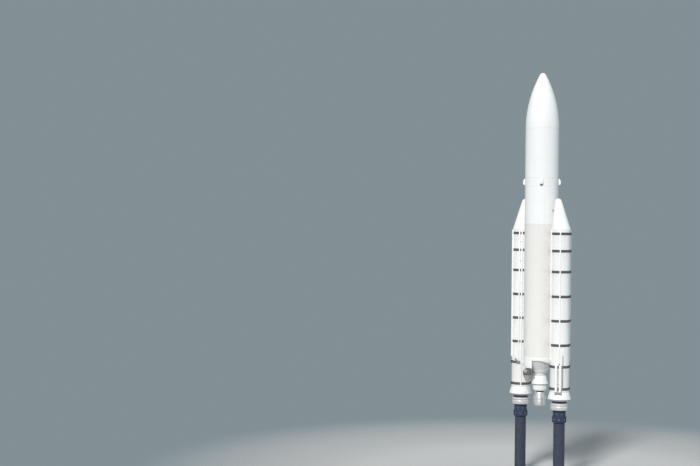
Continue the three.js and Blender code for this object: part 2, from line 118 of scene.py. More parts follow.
def lathe(profile, sides=BOOSTER_SIDES, seams=()):
    """Turns (radius, height) points, listed from the bottom up, about Z.

    A profile that ends where it starts is a hoop. Each seam, in degrees, is a fine upright groove.
    """
    SEAM_HALF, SEAM_DEPTH = 0.002, 0.0015
    widest = max(r for r, _ in profile)
    half = SEAM_HALF / widest
    angles = [(2 * math.pi * i / sides, 0.0) for i in range(sides)]
    for seam in seams:
        a = math.radians(seam) % (2 * math.pi)
        angles = [(b, sink) for b, sink in angles if abs((b - a + math.pi) % (2 * math.pi) - math.pi) > half]
        angles += [(a - half, 0.0), (a - half / 2, SEAM_DEPTH), (a + half / 2, SEAM_DEPTH), (a + half, 0.0)]
    angles.sort()
    sides = len(angles)
    closed = profile[0] == profile[-1]
    points = profile[:-1] if closed else profile
    verts, rows = [], []
    for r, z in points:
        if r == 0:
            rows.append([len(verts)] * sides)
            verts.append((0.0, 0.0, z))
        else:
            rows.append(list(range(len(verts), len(verts) + sides)))
            verts += [((r - sink) * math.cos(a), (r - sink) * math.sin(a), z) for a, sink in angles]
    faces = []
    pairs = list(zip(rows, rows[1:] + rows[:1])) if closed else list(zip(rows, rows[1:]))
    for lower, upper in pairs:
        for i in range(sides):
            j = (i + 1) % sides
            ring = [lower[i], lower[j], upper[j], upper[i]]
            face = [v for n, v in enumerate(ring) if v not in ring[:n]]
            if len(face) > 2:
                faces.append(tuple(face))
    return verts, faces


def stacked(sections):
    """One closed skin over (outline, z) sections from the bottom up. Outlines run counter-clockwise."""
    count = len(sections[0][0])
    verts = [(x, y, z) for outline, z in sections for x, y in outline]
    top = count * (len(sections) - 1)
    faces = [tuple(range(count - 1, -1, -1)), tuple(range(top, top + count))]
    for base in range(0, top, count):
        for i in range(count):
            j = (i + 1) % count
            faces.append((base + i, base + j, base + count + j, base + count + i))
    return verts, faces


def curved_plate(inner, outer, start, end, low, high, steps=24):
    """A plate along a round wall between two directions. Its levels may be functions of direction."""

    def at(level, degrees):
        return level(degrees) if callable(level) else level

    verts, faces = [], []
    for n in range(steps + 1):
        degrees = start + (end - start) * n / steps
        for out, level in ((inner, low), (outer, low), (outer, high), (inner, high)):
            verts.append(tuple(around(out, degrees, at(level, degrees))))
    for base in range(0, 4 * steps, 4):
        for k in range(4):
            a, b = base + k, base + (k + 1) % 4
            faces.append((a, a + 4, b + 4, b))
    last = 4 * steps
    faces.append((0, 1, 2, 3))
    faces.append((last + 3, last + 2, last + 1, last))
    return verts, faces


def bevelled(part, width, segments=2):
    """Rounds the edges of a part where its faces meet at a sharp angle."""
    SHARP, ROUNDNESS = 30, 0.6
    verts, faces = part
    bm = bmesh.new()
    made = [bm.verts.new(v) for v in verts]
    for face in faces:
        bm.faces.new([made[i] for i in face])
    bm.normal_update()
    edges = [e for e in bm.edges if e.is_manifold and e.calc_face_angle() > math.radians(SHARP)]
    how = {"offset": width, "segments": segments, "profile": ROUNDNESS}
    bmesh.ops.bevel(bm, geom=edges, affect="EDGES", clamp_overlap=True, **how)
    bm.verts.index_update()
    verts = [tuple(v.co) for v in bm.verts]
    faces = [tuple(v.index for v in f.verts) for f in bm.faces]
    bm.free()
    return verts, faces


def block(outline, low, high, bevel, segments=2):
    """A prism over an outline, with rounded edges."""
    return bevelled(stacked([(outline, low), (outline, high)]), bevel, segments)


def box(x, y, z, bevel=0.003):
    """A box with rounded edges, from (low, high) pairs."""
    return block([(x[0], y[0]), (x[1], y[0]), (x[1], y[1]), (x[0], y[1])], *z, bevel)


def upright_plate(outline, thickness, bevel=0.003):
    """A plate in the upright plane through the axis, from (distance out, height) points."""
    return moved(block(outline, -thickness / 2, thickness / 2, bevel), turn(90, "X"))


def sweep(points, radius, sides=12):
    """A round bar along a line of points, with flat ends."""
    points = [Vector(p) for p in points]
    verts, faces = [], []
    tangent = (points[1] - points[0]).normalized()
    across = tangent.orthogonal().normalized()
    for n, p in enumerate(points):
        ahead = points[min(n + 1, len(points) - 1)] - points[max(n - 1, 0)]
        across = tangent.rotation_difference(ahead) @ across
        tangent = ahead.normalized()
        up = tangent.cross(across)
        for i in range(sides):
            a = 2 * math.pi * i / sides
            verts.append(tuple(p + radius * (math.cos(a) * across + math.sin(a) * up)))
    for n in range(len(points) - 1):
        for i in range(sides):
            j = (i + 1) % sides
            faces.append((n * sides + i, n * sides + j, (n + 1) * sides + j, (n + 1) * sides + i))
    faces.append(tuple(range(sides - 1, -1, -1)))
    faces.append(tuple(range((len(points) - 1) * sides, len(points) * sides)))
    return verts, faces


def bead(radius, z, size, sides=BOOSTER_SIDES):
    """A round bead, such as a weld, laid round the axis."""
    CORNERS = 8
    section = []
    for i in range(CORNERS):
        a = 2 * math.pi * i / CORNERS
        section.append((radius + size * math.cos(a), z + size * math.sin(a)))
    return lathe(section + section[:1], sides)


def ball(radius, z):
    LATITUDES = 28
    profile = [(0, z - radius)]
    for i in range(1, LATITUDES):
        a = math.pi * i / LATITUDES - math.pi / 2
        profile.append((radius * math.cos(a), z + radius * math.sin(a)))
    return lathe(profile + [(0, z + radius)], SMALL_SIDES)


def moved(part, matrix):
    verts, faces = part
    return [tuple(matrix @ Vector(v)) for v in verts], faces


def joined(*parts):
    verts, faces = [], []
    for part_verts, part_faces in parts:
        base = len(verts)
        verts.extend(part_verts)
        faces.extend(tuple(base + v for v in face) for face in part_faces)
    return verts, faces


def copies(part, places):
    return joined(*[moved(part, place) for place in places])


def rod(radius, low, high):
    """The profile of a solid rod."""
    return [(0, low), (radius, low), (radius, high), (0, high)]


def hoop(inner, outer, low, high):
    """The profile of a flat hoop."""
    return [(inner, low), (outer, low), (outer, high), (inner, high), (inner, low)]


def turn(degrees, axis="Z"):
    return Matrix.Rotation(math.radians(degrees), 4, axis)


def shift(x=0.0, y=0.0, z=0.0):
    return Matrix.Translation((x, y, z))


def facing_out(degrees, out, z):
    """Places a part so that its +Z points away from the axis in that direction."""
    return turn(degrees) @ shift(out, 0, z) @ turn(90, "Y")


def around(out, degrees, z):
    a = math.radians(degrees)
    return Vector((out * math.cos(a), out * math.sin(a), z))


def softened(profile, radius=0.003, steps=3):
    """Rounds each corner of a profile that turns by more than a few degrees."""
    made = [profile[0]]
    for before, corner, after in zip(profile, profile[1:], profile[2:]):
        a = Vector(before) - Vector(corner)
        b = Vector(after) - Vector(corner)
        bend = math.pi - a.angle(b)
        if bend < math.radians(12):
            made.append(corner)
            continue
        reach = min(radius * math.tan(bend / 2), 0.45 * a.length, 0.45 * b.length)
        start = Vector(corner) + a.normalized() * reach
        end = Vector(corner) + b.normalized() * reach
        for n in range(steps + 1):
            t = n / steps
            point = start * (1 - t) ** 2 + Vector(corner) * 2 * t * (1 - t) + end * t**2
            made.append((point.x, point.y))
    made.append(profile[-1])
    return made


def curved(profile):
    """Runs a smooth curve through a profile's points, apart from its ends on the axis."""
    STEPS = 6
    first, inner, last = profile[0], [Vector(p) for p in profile[1:-1]], profile[-1]
    made = [first, tuple(inner[0])]
    for n in range(len(inner) - 1):
        p1, p2 = inner[n], inner[n + 1]
        p0 = inner[n - 1] if n else p1
        p3 = inner[n + 2] if n + 2 < len(inner) else p2
        for k in range(1, STEPS + 1):
            t = k / STEPS
            point = (
                p1 * 2
                + (p2 - p0) * t
                + (p0 * 2 - p1 * 5 + p2 * 4 - p3) * t**2
                + (p1 * 3 - p0 - p2 * 3 + p3) * t**3
            ) / 2
            made.append((point.x, point.y))
    return made + [last]


# Fasteners, pointing along +Z from their seat at z = 0


def screw_head(radius=0.0045):
    rise = radius * 0.45
    return lathe([(radius, 0), (radius * 0.85, rise * 0.6), (radius * 0.4, rise * 0.95), (0, rise)], 10)


def hex_bolt(radius, height):
    """A hexagonal head, cut back at its top, on a round washer."""
    WASHER_WIDTH, WASHER_RISE, CUT_FROM, CUT_TO = 1.35, 0.2, 0.8, 0.82
    washer_top = radius * WASHER_RISE
    washer = lathe(softened(rod(radius * WASHER_WIDTH, 0, washer_top), 0.001), 24)
    rim = washer_top + height * CUT_FROM
    top = washer_top + height
    head = lathe([(radius, washer_top), (radius, rim), (radius * CUT_TO, top), (0, top)], 6)
    return joined(washer, head)


def ring_of(part, count, out, z, start=0.0):
    return copies(part, [facing_out(start + 360 * n / count, out, z) for n in range(count)])


def on_face(part, x, ys, zs):
    """Copies of a part that point along +X from the plane at x, at each y and z."""
    return copies(part, [shift(x, y, z) @ turn(90, "Y") for y in ys for z in zs])


def on_flanks(part, x, aside, zs):
    """Copies of a part that point sideways from both flanks, at each z."""
    return copies(part, [shift(x, side * aside, z) @ turn(-90 * side, "X") for side in (-1, 1) for z in zs])


# Materials


class Nodes:
    """A short way to write a node tree."""

    def __init__(self, tree):
        self.tree = tree

    def add(self, kind, **values):
        node = self.tree.nodes.new(kind)
        for key, value in values.items():
            if key in node.inputs:
                node.inputs[key].default_value = value
            else:
                setattr(node, key, value)
        return node

    def link(self, a, out, b, into):
        self.tree.links.new(a.outputs[out], b.inputs[into])

    def noise(self, coords, scale, detail, stretch=(1, 1, 1), roughness=0.55):
        mapping = self.add("ShaderNodeMapping", Scale=stretch)
        self.link(coords, "Object", mapping, "Vector")
        noise = self.add("ShaderNodeTexNoise", Scale=scale, Detail=detail, Roughness=roughness)
        self.link(mapping, "Vector", noise, "Vector")
        return noise

    def ranged(self, source, out, low, high, to_low, to_high):
        node = self.add("ShaderNodeMapRange")
        limits = {"From Min": low, "From Max": high, "To Min": to_low, "To Max": to_high}
        for socket, value in limits.items():
            node.inputs[socket].default_value = value
        self.link(source, out, node, "Value")
        return node

    def mask(self, coords, scale, detail, low, high, strength, **kind):
        """Noise that shows from its low value on and has its full strength at the high one."""
        return self.ranged(self.noise(coords, scale, detail, **kind), 0, low, high, 0.0, strength)

    def bump(self, coords, scale, distance):
        STRENGTH, DETAIL = 0.15, 2
        node = self.add("ShaderNodeBump", Strength=STRENGTH, Distance=distance)
        self.link(self.noise(coords, scale, DETAIL), 0, node, "Height")
        return node

    def math(self, operation, a, b):
        """Each of a and b is a number or a (node, output) pair."""
        node = self.add("ShaderNodeMath", operation=operation)
        for slot, value in enumerate((a, b)):
            if isinstance(value, tuple):
                self.link(*value, node, slot)
            else:
                node.inputs[slot].default_value = value
        return node

    def mixed(self, factor, a, b):
        """Mixes two colours by a factor node. Each colour is a tuple or a node."""
        mix = self.add("ShaderNodeMix", data_type="RGBA")
        self.link(factor, 0, mix, 0)
        for slot, value in ((6, a), (7, b)):
            if isinstance(value, tuple):
                mix.inputs[slot].default_value = (*value, 1)
            else:
                self.link(value, 2, mix, slot)
        return mix

    def below(self, coords, heights, reach):
        """1 just below each height, fading to 0 over the reach, and 0 elsewhere."""
        split = self.add("ShaderNodeSeparateXYZ")
        self.link(coords, "Object", split, "Vector")
        total = self.math("MULTIPLY", (split, "Z"), 0.0)
        for height in heights:
            fade = self.ranged(split, "Z", height - reach, height, 0, 1)
            under = self.math("LESS_THAN", (split, "Z"), height)
            one = self.math("MULTIPLY", (fade, 0), (under, 0))
            total = self.math("ADD", (total, 0), (one, 0))
        return total


def finish(
    name,
    colour,
    grime,
    roughness,
    metallic=0.0,
    mottle=0.06,
    streaks=0.1,
    specks=0.0,
    coat=0.0,
    specular=0.5,
    wear=None,
    grain=(1, 1, 0.07),
    edges=(),
    dull_below=None,
):
    """A painted or bare metal surface, under the name it is given.

    Its colour is mottled and carries streaks along the grain, specks of dirt and runs below the given
    edges. It is duller below a given height. Where it has a wear colour, that shows on sharp edges. Gloss
    and skin are uneven at two scales.
    """
    SPECK_SHADE, SMOOTHER, ROUGHER, COAT_ROUGHNESS = 0.45, 0.07, 0.09, 0.12
    material = bpy.data.materials.new(name)
    material.use_nodes = True
    n = Nodes(material.node_tree)
    shader = material.node_tree.nodes["Principled BSDF"]
    coords = n.add("ShaderNodeTexCoord")
    # scale and detail of each noise, then the values between which it comes in, and its strength
    patches = n.mask(coords, 1.7, 4, 0.35, 0.7, mottle)
    streaked = n.mask(coords, 11, 5, 0.52, 0.78, streaks, stretch=grain, roughness=0.6)
    speckled = n.mask(coords, 95, 3, 0.66, 0.74, specks)
    tone = n.mixed(patches, colour, grime)
    tone = n.mixed(streaked, tone, grime)
    tone = n.mixed(speckled, tone, tuple(SPECK_SHADE * c for c in grime))
    if edges:
        RUN_LENGTH = 0.3
        drips = n.mask(coords, 30, 4, 0.45, 0.7, 0.4, stretch=grain)
        below = n.below(coords, edges, RUN_LENGTH)
        tone = n.mixed(n.math("MULTIPLY", (drips, 0), (below, 0)), tone, grime)
    # Darker towards the bottom: below the given height the colour is mixed towards the darker colour given as
    # grime.
    if dull_below:
        FADE, DULLNESS = 0.25, 0.13
        height = n.add("ShaderNodeSeparateXYZ")
        n.link(coords, "Object", height, "Vector")
        tone = n.mixed(n.ranged(height, "Z", dull_below - FADE, dull_below, DULLNESS, 0.0), tone, grime)
    if wear:
        shape = n.add("ShaderNodeNewGeometry")
        sharp = n.ranged(shape, "Pointiness", 0.53, 0.62, 0.0, 1.0)
        rubbed = n.mask(coords, 24, 4, 0.42, 0.6, 0.8)
        tone = n.mixed(n.math("MULTIPLY", (sharp, 0), (rubbed, 0)), tone, wear)
    n.link(tone, 2, shader, "Base Color")
    gloss = n.ranged(n.noise(coords, 34, 6), 0, 0.3, 0.7, roughness - SMOOTHER, roughness + ROUGHER)
    n.link(gloss, 0, shader, "Roughness")
    waves = n.bump(coords, 4.5, 0.004)
    skin = n.bump(coords, 260, 0.0006)
    n.link(waves, "Normal", skin, "Normal")
    n.link(skin, "Normal", shader, "Normal")
    shader.inputs["Metallic"].default_value = metallic
    shader.inputs["Coat Weight"].default_value = coat
    shader.inputs["Coat Roughness"].default_value = COAT_ROUGHNESS
    shader.inputs["Specular IOR Level"].default_value = specular
    return material


# Name, colour, grime, roughness, and what differs from a plain paint
BAND_FEET = tuple(z - BAND_HEIGHT / 2 for z in BAND_CENTRES)
WHITE = finish("white_paint", (0.87, 0.88, 0.87), (0.52, 0.50, 0.44), 0.48, coat=0.04)
ENGINE_WHITE = finish(
    "engine_white_paint", (0.83, 0.835, 0.825), (0.46, 0.44, 0.40), 0.58, specular=0.35
)
CASE_WHITE = finish(
    "case_white_paint", (0.86, 0.865, 0.85), (0.40, 0.38, 0.33), 0.38,
    coat=0.12, edges=BAND_FEET, dull_below=3.75,
)
CREAM = finish("cream_paint", (0.80, 0.787, 0.757), (0.50, 0.47, 0.40), 0.42, coat=0.1)
LOWER_WHITE = finish(
    "lower_white_paint", (0.85, 0.855, 0.845), (0.42, 0.40, 0.34), 0.42,
    mottle=0.12, streaks=0.2, specks=0.25,
)
BAND = finish(
    "band_paint", (0.078, 0.078, 0.081), (0.15, 0.145, 0.13), 0.38,
    mottle=0.2, streaks=0.2, specks=0.2, specular=0.65,
)
GREY = finish(
    "grey_paint", (0.25, 0.24, 0.225), (0.13, 0.12, 0.11), 0.48,
    mottle=0.2, streaks=0.2, specks=0.3,
)
MID_GREY = finish(
    "mid_grey_paint", (0.43, 0.42, 0.40), (0.2, 0.19, 0.17), 0.42,
    mottle=0.2, streaks=0.2, specks=0.3,
)
CAP_GREY = finish(
    "cap_grey_paint", (0.33, 0.325, 0.315), (0.18, 0.17, 0.16), 0.34,
    mottle=0.2, specks=0.3, specular=0.7,
)
SPHERE_GREY = finish(
    "sphere_paint", (0.15, 0.147, 0.142), (0.08, 0.076, 0.07), 0.4, mottle=0.3, specks=0.3
)
LIGHT_GREY = finish(
    "light_grey_paint", (0.62, 0.63, 0.65), (0.30, 0.29, 0.26), 0.34,
    mottle=0.14, streaks=0.25, specks=0.2, coat=0.2,
)
STRUT_GREY = finish(
    "strut_paint", (0.36, 0.36, 0.355), (0.2, 0.19, 0.17), 0.45,
    mottle=0.2, streaks=0.2, specks=0.2,
)
NOZZLE_GREY = finish(
    "nozzle_paint", (0.60, 0.605, 0.63), (0.30, 0.29, 0.27), 0.42,
    metallic=0.2, mottle=0.16, streaks=0.25, specks=0.2,
)
DARK = finish("dark_paint", (0.03, 0.03, 0.034), (0.09, 0.085, 0.08), 0.6, mottle=0.3, streaks=0.2)
SILVER = finish(
    "silver_metal", (0.86, 0.86, 0.86), (0.50, 0.49, 0.47), 0.45,
    metallic=0.92, mottle=0.2, streaks=0.3, grain=(0.25, 0.25, 9),
)
ZINC = finish(
    "zinc_metal", (0.66, 0.67, 0.68), (0.3, 0.29, 0.27), 0.4,
    metallic=0.9, mottle=0.3, streaks=0.0,
)
BLUE = finish(
    "blue_paint", (0.031, 0.043, 0.082), (0.055, 0.058, 0.066), 0.52,
    mottle=0.25, streaks=0.3, specks=0.25, specular=0.18, wear=(0.12, 0.11, 0.10),
)


# Pieces


def piece(name, *finished_parts, replaces=(), smooth=32, place=None):
    """Makes one object of (part, material) pairs that rides with the model."""
    mesh = bpy.data.meshes.new(name)
    verts, faces = joined(*[part for part, _ in finished_parts])
    if place is not None:
        verts = [tuple(place @ Vector(v)) for v in verts]
    mesh.from_pydata(verts, [], faces)
    used = []
    for _, material in finished_parts:
        if material not in used:
            used.append(material)
            mesh.materials.append(material)
    index = [used.index(material) for part, material in finished_parts for _ in part[1]]
    mesh.polygons.foreach_set("material_index", index)
    mesh.polygons.foreach_set("use_smooth", [True] * len(mesh.polygons))
    mesh.set_sharp_from_angle(angle=math.radians(smooth))
    mesh.update()
    made = bpy.data.objects.new(name, mesh)
    bpy.context.scene.collection.objects.link(made)
    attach(made, "root")
    if replaces:
        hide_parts(*replaces)
    return made


def screws_round(name, material, rows, place=None):
    """Rings of small screws, from (count, distance out, height) rows."""
    START = 3.0
    rings = [ring_of(screw_head(), count, out, z, START) for count, out, z in rows]
    return piece(name, (joined(*rings), material), place=place)


# Core stack

SHELL_SEAMS = (0, 180)  # where the two halves of each section meet, in line with the boosters


def drum(radius, low, high, sides, seams=()):
    """A closed cylinder whose rims are cut back, so that two of them leave a groove where they meet."""
    inner = radius - JOINT
    rims = [(inner, low), (radius, low + JOINT), (radius, high - JOINT), (inner, high)]
    return lathe([(0, low), *rims, (0, high)], sides, seams)


def joint_line(radius, z):
    """The dark line at the bottom of a groove between two sections."""
    DEEP, SHALLOW, HALF = 0.012, 0.0013, 0.0008
    return lathe(hoop(radius - DEEP, radius - SHALLOW, z - HALF, z + HALF), CORE_SIDES)


def ogive_arc(radius, height, tip_radius):
    """The flank's own radius, and the angle at which it meets the ball at the tip."""
    rise = height - tip_radius
    flank = (radius**2 + rise**2 - tip_radius**2) / (2 * (radius - tip_radius))
    return flank, math.atan2(rise, flank - radius)


def ogive_profile(foot, radius, height, tip_radius):
    """A flank arc that is upright at its foot, and a ball at its tip."""
    FLANK_STEPS, BALL_STEPS = 36, 10
    flank, meeting = ogive_arc(radius, height, tip_radius)
    profile = [(0, foot), (radius - JOINT, foot)]
    for n in range(FLANK_STEPS + 1):
        a = meeting * n / FLANK_STEPS
        z = foot + flank * math.sin(a)
        profile.append((radius - flank + flank * math.cos(a), max(z, foot + JOINT)))
    for n in range(1, BALL_STEPS):
        a = meeting + (math.pi / 2 - meeting) * n / BALL_STEPS
        profile.append((tip_radius * math.cos(a), foot + height - tip_radius + tip_radius * math.sin(a)))
    profile.append((0, foot + height))
    return profile


def aft_ring():
    """The ring at the core's foot, with a pointed apron below it towards each booster."""
    INNER, OUTER, APRON_HALF, INTO_RING, RIM = 0.512, 0.532, 0.365, 0.01, 0.006
    low, high = span("core_aft_ring")
    base = span("thrust_cone")[1]
    edge = math.degrees(math.asin(APRON_HALF / OUTER)) - 0.3
    aprons = []
    for centre in (0, 180):

        def point(degrees):
            aside = abs(OUTER * math.sin(math.radians(degrees - centre)))
            return low + (base - low) * aside / APRON_HALF

        apron = curved_plate(INNER, OUTER, centre - edge, centre + edge, point, base + INTO_RING, 32)
        aprons.append(bevelled(apron, 0.0015))
    wall = [(0, base), (CORE_R - 0.004, base), (CORE_R, base + RIM), (CORE_R, high), (0, high)]
    return joined(lathe(softened(wall), CORE_SIDES), *aprons)


def cover(direction, z, half_angle, height):
    """A thin access cover with rounded corners and screws along its edge, on the core's wall."""
    PROUD, CORNER, INSET = 0.0018, 0.022, 0.012

    def drop(degrees):
        from_end = math.radians(half_angle - abs(degrees - direction)) * CORE_R
        short = max(CORNER - from_end, 0)
        return CORNER - math.sqrt(CORNER**2 - short**2)

    plate = curved_plate(
        CORE_R - 0.002,
        CORE_R + PROUD,
        direction - half_angle,
        direction + half_angle,
        lambda degrees: z - height / 2 + drop(degrees),
        lambda degrees: z + height / 2 - drop(degrees),
        40,
    )
    reach = half_angle - math.degrees(INSET / CORE_R)
    columns = [direction + reach * k / 2 for k in range(-2, 3)]
    screws = [
        moved(screw_head(0.004), facing_out(d, CORE_R + PROUD, z + side * (height / 2 - INSET)))
        for d in columns
        for side in (-1, 1)
        if abs(d - direction) < reach
    ]
    screws += [moved(screw_head(0.004), facing_out(d, CORE_R + PROUD, z)) for d in (columns[0], columns[-1])]
    return joined(bevelled(plate, 0.0008, 1), *screws)


def add_core():
    low, high = span("fairing_nose")
    profile = ogive_profile(low, CORE_R, high - low, FAIRING_TIP_R)
    piece("fairing_nose_shell", (lathe(profile, CORE_SIDES, SHELL_SEAMS), WHITE), replaces=["fairing_nose"])
    sections = (
        ("fairing_barrel", WHITE),
        ("equipment_bay", WHITE),
        ("upper_stage", WHITE),
        ("core_upper", CREAM),
        ("core_lower", CREAM),
    )
    for node, material in sections:
        low, high = span(node)
        shell = drum(CORE_R, low, high, CORE_SIDES, SHELL_SEAMS)
        piece(node + "_shell", (shell, material), replaces=[node])
    piece("core_aft_ring_shell", (aft_ring(), WHITE), replaces=["core_aft_ring"])

    joints = [span("fairing_nose")[0]] + [span(node)[0] for node, _ in sections]
    piece("core_joint_lines", (joined(*[joint_line(CORE_R, z) for z in joints]), DARK))
    SCREWS, FROM_JOINT = 60, 0.028
    rows = [(SCREWS, CORE_R - 0.0008, z + side) for z in joints[:-1] for side in (-FROM_JOINT, FROM_JOINT)]
    rows.append((SCREWS, CORE_R - 0.0008, joints[-1] + FROM_JOINT))
    screws_round("core_screws", WHITE, rows)

    # direction, height, half angle, height of the cover
    covers = (
        (150, 10.05, 9, 0.22),
        (20, 9.51, 7, 0.14),
        (200, 9.51, 7, 0.14),
        (110, 7.55, 8, 0.18),
        (75, 4.25, 10, 0.24),
        (-110, 4.25, 8, 0.18),
    )
    piece("core_covers", (joined(*[cover(*row) for row in covers]), WHITE))


def add_pods():
    """Four pods at the diagonals, each with a dark plate on its slanted underside and two small nozzles in
    it; the plate is painted shade under the pod.
    """
    WIDTH, PROUD, SLANT, SUNK, SCREW_IN = 0.097, 0.065, 0.032, 0.012, 0.07
    out = CORE_R + PROUD
    flank = PROUD - 0.010  # how far out the slant ends
    lean = math.degrees(math.atan2(SLANT, flank))
    jet = [(0.010, 0.004), (0.016, 0), (0.014, 0.012), (0.011, 0.012), (0.008, 0.004), (0.010, 0.004)]
    for n, direction in enumerate((-45, 45, 135, -135), start=1):
        low, high = span(f"pod_{n}")
        outline = [(CORE_R - SUNK, low), (CORE_R, low), (CORE_R + flank, low + SLANT)]
        outline += [(out, low + SLANT + 0.014), (out, high - 0.065), (CORE_R + 0.022, high)]
        body = upright_plate(outline + [(CORE_R - SUNK, high)], WIDTH, 0.004)
        under = shift(CORE_R + flank / 2, 0, low + SLANT / 2) @ turn(180 - lean, "Y")
        # The dark plate on the slanted underside is painted shade under the pod.
        plate = moved(box((-0.027, 0.027), (-0.042, 0.042), (-0.001, 0.002), 0.0008), under)
        jets = copies(lathe(jet, 20), [under @ shift(0, side, 0) for side in (-0.022, 0.022)])
        heights = (low + SCREW_IN, high - SCREW_IN)
        screws = on_flanks(screw_head(0.004), CORE_R + 0.03, WIDTH / 2 - 0.0004, heights)
        parts = ((joined(body, screws), WHITE), (plate, DARK), (jets, SPHERE_GREY))
        piece(f"pod_{n}_body", *parts, replaces=[f"pod_{n}"], place=turn(direction))


# Engine under the core


def add_thrust_cone():
    """A bowl-ended cone that widens to the aft ring, with slim ribs down its flank."""
    low, high = span("thrust_cone")
    wall = [(0.196, low), (0.228, 3.385), (0.262, 3.440), (0.330, 3.530), (0.420, 3.650), (0.508, high)]
    cone = lathe(curved([(0, low), *wall, (0, high)]), CORE_SIDES)
    belt = bead(0.2625, 3.441, 0.003, CORE_SIDES)
    RIBS, RIB_WIDTH, RIB_DEPTH = 24, 0.010, 0.008
    foot, head = Vector((0.336, 3.538)), Vector((0.500, high - 0.012))
    flank = head - foot
    centre = (head + foot) / 2
    x, y, z = [(-size / 2, size / 2) for size in (RIB_DEPTH, RIB_WIDTH, flank.length)]
    lean = turn(math.degrees(math.atan2(flank.x, flank.y)), "Y")
    rib = moved(box(x, y, z, 0.002), shift(centre.x, 0, centre.y) @ lean)
    ribs = copies(rib, [turn(360 * n / RIBS) for n in range(RIBS)])
    piece("thrust_cone_shell", (joined(cone, belt, ribs), WHITE), replaces=["thrust_cone"])


def add_engine_shells():
    ring_low, ring_high = span("engine_ring")
    flare_low, flare_high = span("engine_flare")
    seal_low, seal_high = span("engine_seal")
    drum_low, drum_high = span("engine_drum")
    ring = [(0, ring_low), (0.165, ring_low), (0.165, ring_low + 0.038), (0.180, ring_low + 0.038)]
    ring += [(0.180, ring_low + 0.050), (0.176, ring_low + 0.054), (0.176, ring_high - 0.014)]
    ring += [(0.180, ring_high - 0.010), (0.180, ring_high), (0, ring_high)]
    flare = [(0, flare_low), (0.262, flare_low), (0.265, flare_low + 0.003), (0.265, flare_low + 0.018)]
    flare += [(0.261, flare_low + 0.024), (0.193, flare_high), (0, flare_high)]
    RIDGES = 3
    pitch = (seal_high - seal_low) / RIDGES
    seal = [(0, seal_low), (0.228, seal_low)]
    for n in range(RIDGES):
        foot = seal_low + n * pitch
        seal += [(0.235, foot + 0.35 * pitch), (0.235, foot + 0.65 * pitch), (0.228, foot + pitch)]
    seal.append((0, seal_high))
    drum_wall = [(0, drum_low), (0.190, drum_low), (0.212, drum_low + 0.020), (0.224, drum_low + 0.060)]
    drum_wall += [(0.2275, drum_high - 0.020), (0.228, drum_high - 0.003), (0.225, drum_high)]
    drum_wall.append((0, drum_high))
    for node, material, profile in (
        ("engine_ring", ENGINE_WHITE, ring),
        ("engine_flare", ENGINE_WHITE, flare),
        ("engine_seal", LIGHT_GREY, seal),
        ("engine_drum", ENGINE_WHITE, drum_wall),
        # the neck's dark colour is painted shade under the drum
        ("engine_neck", DARK, rod(0.130, *span("engine_neck"))),
    ):
        piece(node + "_shell", (lathe(softened(profile)), material), replaces=[node])
    # The undercut below the ring is light grey, partly painted shade in the groove between the ring and the
    # flare.
    undercut_band = softened(hoop(0.150, 0.1705, ring_low, ring_low + 0.040))
    piece("engine_ring_undercut", (lathe(undercut_band), LIGHT_GREY))
    screws_round("engine_screws", ZINC, [(16, 0.1795, ring_low + 0.044), (20, 0.2265, drum_high - 0.022)])


def add_engine_nozzle():
    """The bell with its seam ring, open below and dark inside."""
    low, high = span("engine_nozzle")
    SEAM = 2.512
    inside = [(0, low + 0.191), (0.120, low + 0.180), (0.172, low + 0.060), (0.184, low + 0.002)]
    outside = [(0.190, low), (0.196, low + 0.020), (0.194, 2.410), (0.1845, SEAM - 0.013)]
    upper = [(0.1800, SEAM + 0.004), (0.165, 2.610), (0.150, 2.700), (0.140, high), (0, high)]
    lower_bell = lathe(curved([*inside, *outside, (0, SEAM - 0.012)]))
    upper_bell = lathe(curved([(0, SEAM + 0.003), *upper]))
    seam = lathe(softened([(0, SEAM - 0.012), (0.188, SEAM - 0.010), (0.188, SEAM), (0, SEAM + 0.004)]))
    lining = lathe([(0, low + 0.188), (0.117, low + 0.178), (0.1175, low + 0.179), (0, low + 0.189)])
    rivets = ring_of(screw_head(0.004), 24, 0.1875, SEAM - 0.005)
    bell = joined(lower_bell, upper_bell, seam, rivets)
    piece("engine_nozzle_bell", (bell, SILVER), (lining, DARK), replaces=["engine_nozzle"])


def add_actuators():
    """Two slim rods beside the nozzle, each with a thicker sleeve and an eye at its lower end."""
    upper = around(0.174, -80, span("engine_drum")[0] + 0.030)
    lower = around(0.196, -122, 2.502)
    ROD_R, SLEEVE_R, EYE_R = 0.009, 0.0145, 0.015

    def stretch(start, end, radius, sides):
        """A round piece between two shares of the rod's length."""
        return sweep([upper.lerp(lower, start), upper.lerp(lower, end)], radius, sides)

    shaft = sweep([upper, lower], ROD_R)
    sleeve = stretch(0.42, 0.93, SLEEVE_R, 16)
    collar = stretch(0.40, 0.45, EYE_R, 16)
    eye = moved(ball(EYE_R, 0), shift(*lower))
    for n, direction in enumerate((0, 180), start=1):
        name = f"actuator_{n}"
        parts = (joined(shaft, sleeve, collar, eye), SILVER)
        piece(name + "_rod", parts, replaces=[name], place=turn(direction))


def add_hood():
    """A white curved panel that hangs below the aft ring over the gas sphere."""
    low, high = span("side_hood")
    INNER, OUTER, START, END, SCREWS = 0.522, 0.535, -133, -73, 9
    panel = bevelled(curved_plate(INNER, OUTER, START, END, low, high, 32), 0.0025)
    directions = [START + (END - START) * (n + 0.5) / SCREWS for n in range(SCREWS)]
    places = [facing_out(d, OUTER, z) for d in directions for z in (low + 0.020, high - 0.025)]
    screws = copies(screw_head(0.005), places)
    piece("side_hood_panel", (joined(panel, screws), WHITE), replaces=["side_hood"])


